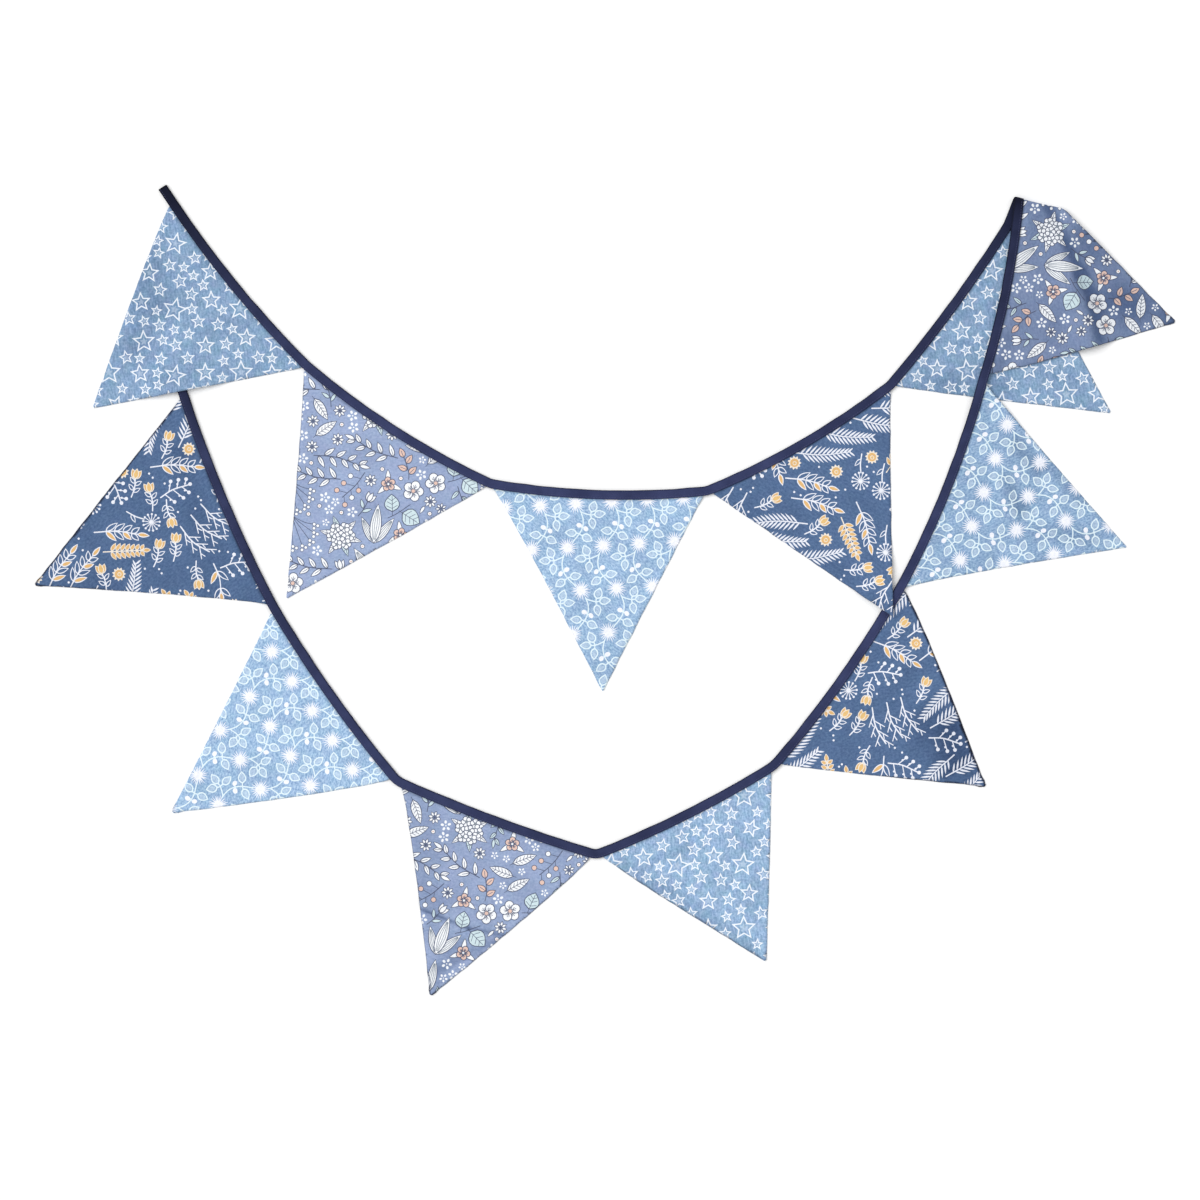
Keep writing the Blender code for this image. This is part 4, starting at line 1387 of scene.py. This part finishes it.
def tapeSection():
    # outer face of both walls round the fold, then the inner face back: across and height
    half, wall = binding["half"], layout["wallMiddle"]
    bendAt = wall + half - layout["tapeWidth"]
    across = np.array([-0.12, -0.5, -1.1, -1.6, -2.0, -2.4, -2.9, -3.8, -5.0, -6.2, -7.4, -8.2])
    rise = np.array([0.0, -0.04, 0.0, 0.0, 0.0, 0.0, 0.0, 0.5, 0.9, 1.0, 0.8, 0.4]) * binding["crown"]
    rise[0] = -0.28  # the open edge is rounded off
    outerTop = np.stack([across, wall + half + rise], -1)
    turn = np.radians(np.arange(0, 181, 18))
    radius = wall + half
    fold = np.stack([bendAt - radius * np.sin(turn), radius * np.cos(turn)], -1)
    outerLow = outerTop[::-1].copy()
    outerLow[:, 1] = -(wall + half + np.minimum(rise[::-1], 0.0))
    inner = wall - half
    innerLow = [[across, -inner] for across in (-0.2, -1.2, -4.5, -8.0)]
    innerTop = np.array(innerLow)[::-1] * (1, -1)
    bend = [[bendAt - inner * 0.7, -inner * 0.7], [bendAt - inner, 0.0], [bendAt - inner * 0.7, inner * 0.7]]
    return np.concatenate([outerTop, fold, outerLow, [[0.0, -wall]], innerLow, bend, innerTop, [[0.0, wall]]])


def stations(step):
    # places along the tape, each as the number of its arc and the distance along it; close over the crease
    found = [(0, 0.0)]
    for i, arc in enumerate(arcs):
        cuts = list(np.linspace(0, arc["length"], max(2, math.ceil(arc["length"] / step)) + 1)[1:])
        if arc is flagArcs["flag_06"]:
            cuts = sorted(cuts + list(np.arange(layout["creaseAt"] - 7, layout["creaseAt"] + 7, 0.7)))
        found += [(i, cut) for cut in cuts]
    return found


def tapeToneAndShade(at):
    # how dark the tape is along its length, darkest at its first end and at the fold, where the darkening is
    # painted shade
    fold = flagArcs["flag_06"]["at"] + layout["creaseAt"]
    fromStart = ((0, 0.92), (35, 0.8), (90, 0.56), (200, 0.28), (320, 0.06), (440, 0.0))
    fromFold = ((-440, 0.05), (-370, 0.18), (-285, 0.32), (-190, 0.44), (-90, 0.46), (-25, 0.7), (0, 0.95),
                (30, 0.55), (140, 0.44), (220, 0.27), (310, 0.2), (400, 0.08), (580, 0.0), (670, 0.28),
                (750, 0.12), (920, 0.28), (1080, 0.15), (1230, 0.05), (1330, 0.1), (1420, 0.3))
    fromEnd = ((-160, 0.22), (-80, 0.25), (0, 0.55))
    rows = list(fromStart) + [(fold + x, y) for x, y in fromFold] + [(tapeLength + x, y) for x, y in fromEnd]
    return np.interp(at, *zip(*rows))


def makeTape():
    section = tapeSection()
    count = len(section)
    outer = layout["wallMiddle"] + binding["half"]
    found = stations(binding["step"])
    places, levels, offsets, uvs, shades, tonesAndShades = [], [], [], [], [], []
    around = np.concatenate([[0], np.cumsum(np.linalg.norm(np.diff(section, axis=0), axis=1))])
    dimple = np.exp(-((section[:, 0] + binding["stitchLine"]) / binding["dimpleWidth"]) ** 2)
    dimple = dimple * (np.abs(section[:, 1]) > 1.5)  # only on the outer faces

    # painted shade: the folded side and the open edge are darker
    start, width, strength = binding["darkFold"]
    dark = strength * ease((-section[:, 0] - start) / width)
    width, strength = binding["darkRim"]
    dark = dark + strength * (1.0 - ease(-section[:, 0] / width))

    for number, distance in found:
        arc = arcs[number]
        at = arc["at"] + distance
        waver, loose = (most * float(softNoise(at, 0.0, size, seed))
                        for most, size, seed in (binding["waver"], binding["loose"]))
        pinch = binding["dimple"] * (0.6 + 0.4 * math.cos(at * math.tau / binding["pitch"]))
        sideways = section[:, 0] + waver * (-section[:, 0] / layout["tapeWidth"])
        puffed = section[:, 1] * (1.0 - pinch * dimple / outer)
        puffed = puffed + np.where(section[:, 1] > 1.75, loose * (section[:, 0] < -3), 0.0)
        places.append(beside(arc, distance, sideways))
        offsets.append(puffed)
        levels.append(np.full(count, layout["tapeLevel"]))
        uvs.append(np.stack([np.full(count, at), around], -1))
        # painted shade at the tape's cut ends
        shades.append(np.clip(dark + (1.0 - ease(min(at, tapeLength - at) / binding["darkEnd"])), 0, 1))
        tonesAndShades.append(np.full(count, tapeToneAndShade(at)))
    place, offset = np.concatenate(places), np.concatenate(offsets)
    offset = np.where(facesUp(place) > 0.5, offset, np.minimum(offset, outer))  # flat where it lies face down
    solid = foldOver(place, np.concatenate(levels), offset)
    faces = []
    for i in range(len(found) - 1):
        for j in range(count):
            k = (j + 1) % count
            faces.append((i * count + j, i * count + k, (i + 1) * count + k, (i + 1) * count + j))
    last = (len(found) - 1) * count
    faces += [tuple(range(count))[::-1], tuple(range(last, last + count))]
    obj = buildMesh("bias_tape_cloth", solid, faces, tapeMaterial(), np.concatenate(uvs),
                    {"edgeShade": np.concatenate(shades), "tone": np.concatenate(tonesAndShades)})
    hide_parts("bias_tape")
    return obj, float(around.max()) / 2


def makeStitches():
    # one low bead for each stitch, on both faces of the tape
    length, width, height = binding["stitch"]
    ring = np.array([(-0.5, 0.0), (-0.3, 0.75), (0.0, 1.0), (0.3, 0.75), (0.5, 0.0)])
    bead = []
    for row in np.linspace(-1, 1, 5):
        swell = math.sqrt(max(0.0, 1 - row * row * 0.96))
        bead.append(np.stack([np.full(5, row * length / 2), ring[:, 0] * width * swell,
                              ring[:, 1] * height * swell], -1))
    bead = np.concatenate(bead)
    beadFaces = []
    for i in range(4):
        for j in range(4):
            beadFaces.append((i * 5 + j, i * 5 + j + 1, (i + 1) * 5 + j + 1, (i + 1) * 5 + j))
        beadFaces.append((i * 5 + 4, i * 5, (i + 1) * 5, (i + 1) * 5 + 4))
    beadFaces += [(4, 3, 2, 1, 0), (20, 21, 22, 23, 24)]
    pick = random.Random(3)
    places, offsets, faces, total = [], [], [], 0
    for face in (1, -1):
        at = binding["bareEnd"]
        while at < tapeLength - binding["bareEnd"]:
            arc = next(a for a in reversed(arcs) if a["at"] <= at)
            sideways = -binding["stitchLine"] + pick.uniform(-binding["stitchSway"], binding["stitchSway"])
            along = at - arc["at"] + bead[:, 0]
            places.append(beside(arc, along, sideways + bead[:, 1]))
            sunk = layout["wallMiddle"] + binding["half"] - binding["dimple"] * 0.9
            lift = bead[:, 2] if face > 0 else bead[:, 2] * binding["lowerStitch"]
            offsets.append(face * (sunk + lift))
            faces += [tuple(total + k for k in f[::-face]) for f in beadFaces]
            total += len(bead)
            at += binding["pitch"]
    place, offset = np.concatenate(places), np.concatenate(offsets)
    solid = foldOver(place, np.full(len(place), layout["tapeLevel"]), offset)
    return buildMesh("tape_topstitch", solid, faces, threadMaterial(), place)


tape, tapeFlatWidth = makeTape()
stitches = makeStitches()
print("made the tape and its stitches")


# floor, light and camera

studio = {
    "floor": 14.0,
    "sky": 0.76,
    "sun": 1.7,
    "sunWay": (0.62, -0.25, -0.74),  # the light comes from the photo's left and a little from its top
    "sunAngle": 45.0,
    "cameraHeight": 4.2,
    "cameraPlace": (-0.0053, -0.0121),
    "frameWidth": 1200 * 1.134 * mm,  # of the photo at the height of the cloth
    "clothHeight": 0.001,
    "sensor": 36.0,
}

bpy.ops.object.select_all(action="DESELECT")
bpy.ops.mesh.primitive_plane_add(size=studio["floor"], location=(0, 0, -0.0002))
floor = bpy.context.object
floor.name = "floor"
bpy.ops.object.transform_apply(location=True, rotation=True, scale=True)
floor.data.materials.append(floorMaterial())

world = bpy.context.scene.world or bpy.data.worlds.new("studio")
bpy.context.scene.world = world
world.use_nodes = True
world.node_tree.nodes["Background"].inputs["Color"].default_value = (1.0, 1.0, 1.0, 1.0)
world.node_tree.nodes["Background"].inputs["Strength"].default_value = studio["sky"]

bpy.ops.object.light_add(type="SUN", location=(-1.0, 1.0, 3.0))
sun = bpy.context.object
sun.data.energy = studio["sun"]
sun.data.angle = math.radians(studio["sunAngle"])
sun.rotation_euler = Vector(studio["sunWay"]).to_track_quat("-Z", "Y").to_euler()

bpy.ops.object.camera_add(location=(*studio["cameraPlace"], studio["cameraHeight"]), rotation=(0, 0, 0))
camera = bpy.context.object
camera.data.sensor_width = studio["sensor"]
camera.data.lens = studio["sensor"] * (studio["cameraHeight"] - studio["clothHeight"]) / studio["frameWidth"]
bpy.context.scene.camera = camera
bpy.context.scene.view_settings.view_transform = "Standard"
print("set the floor, the light and the camera")
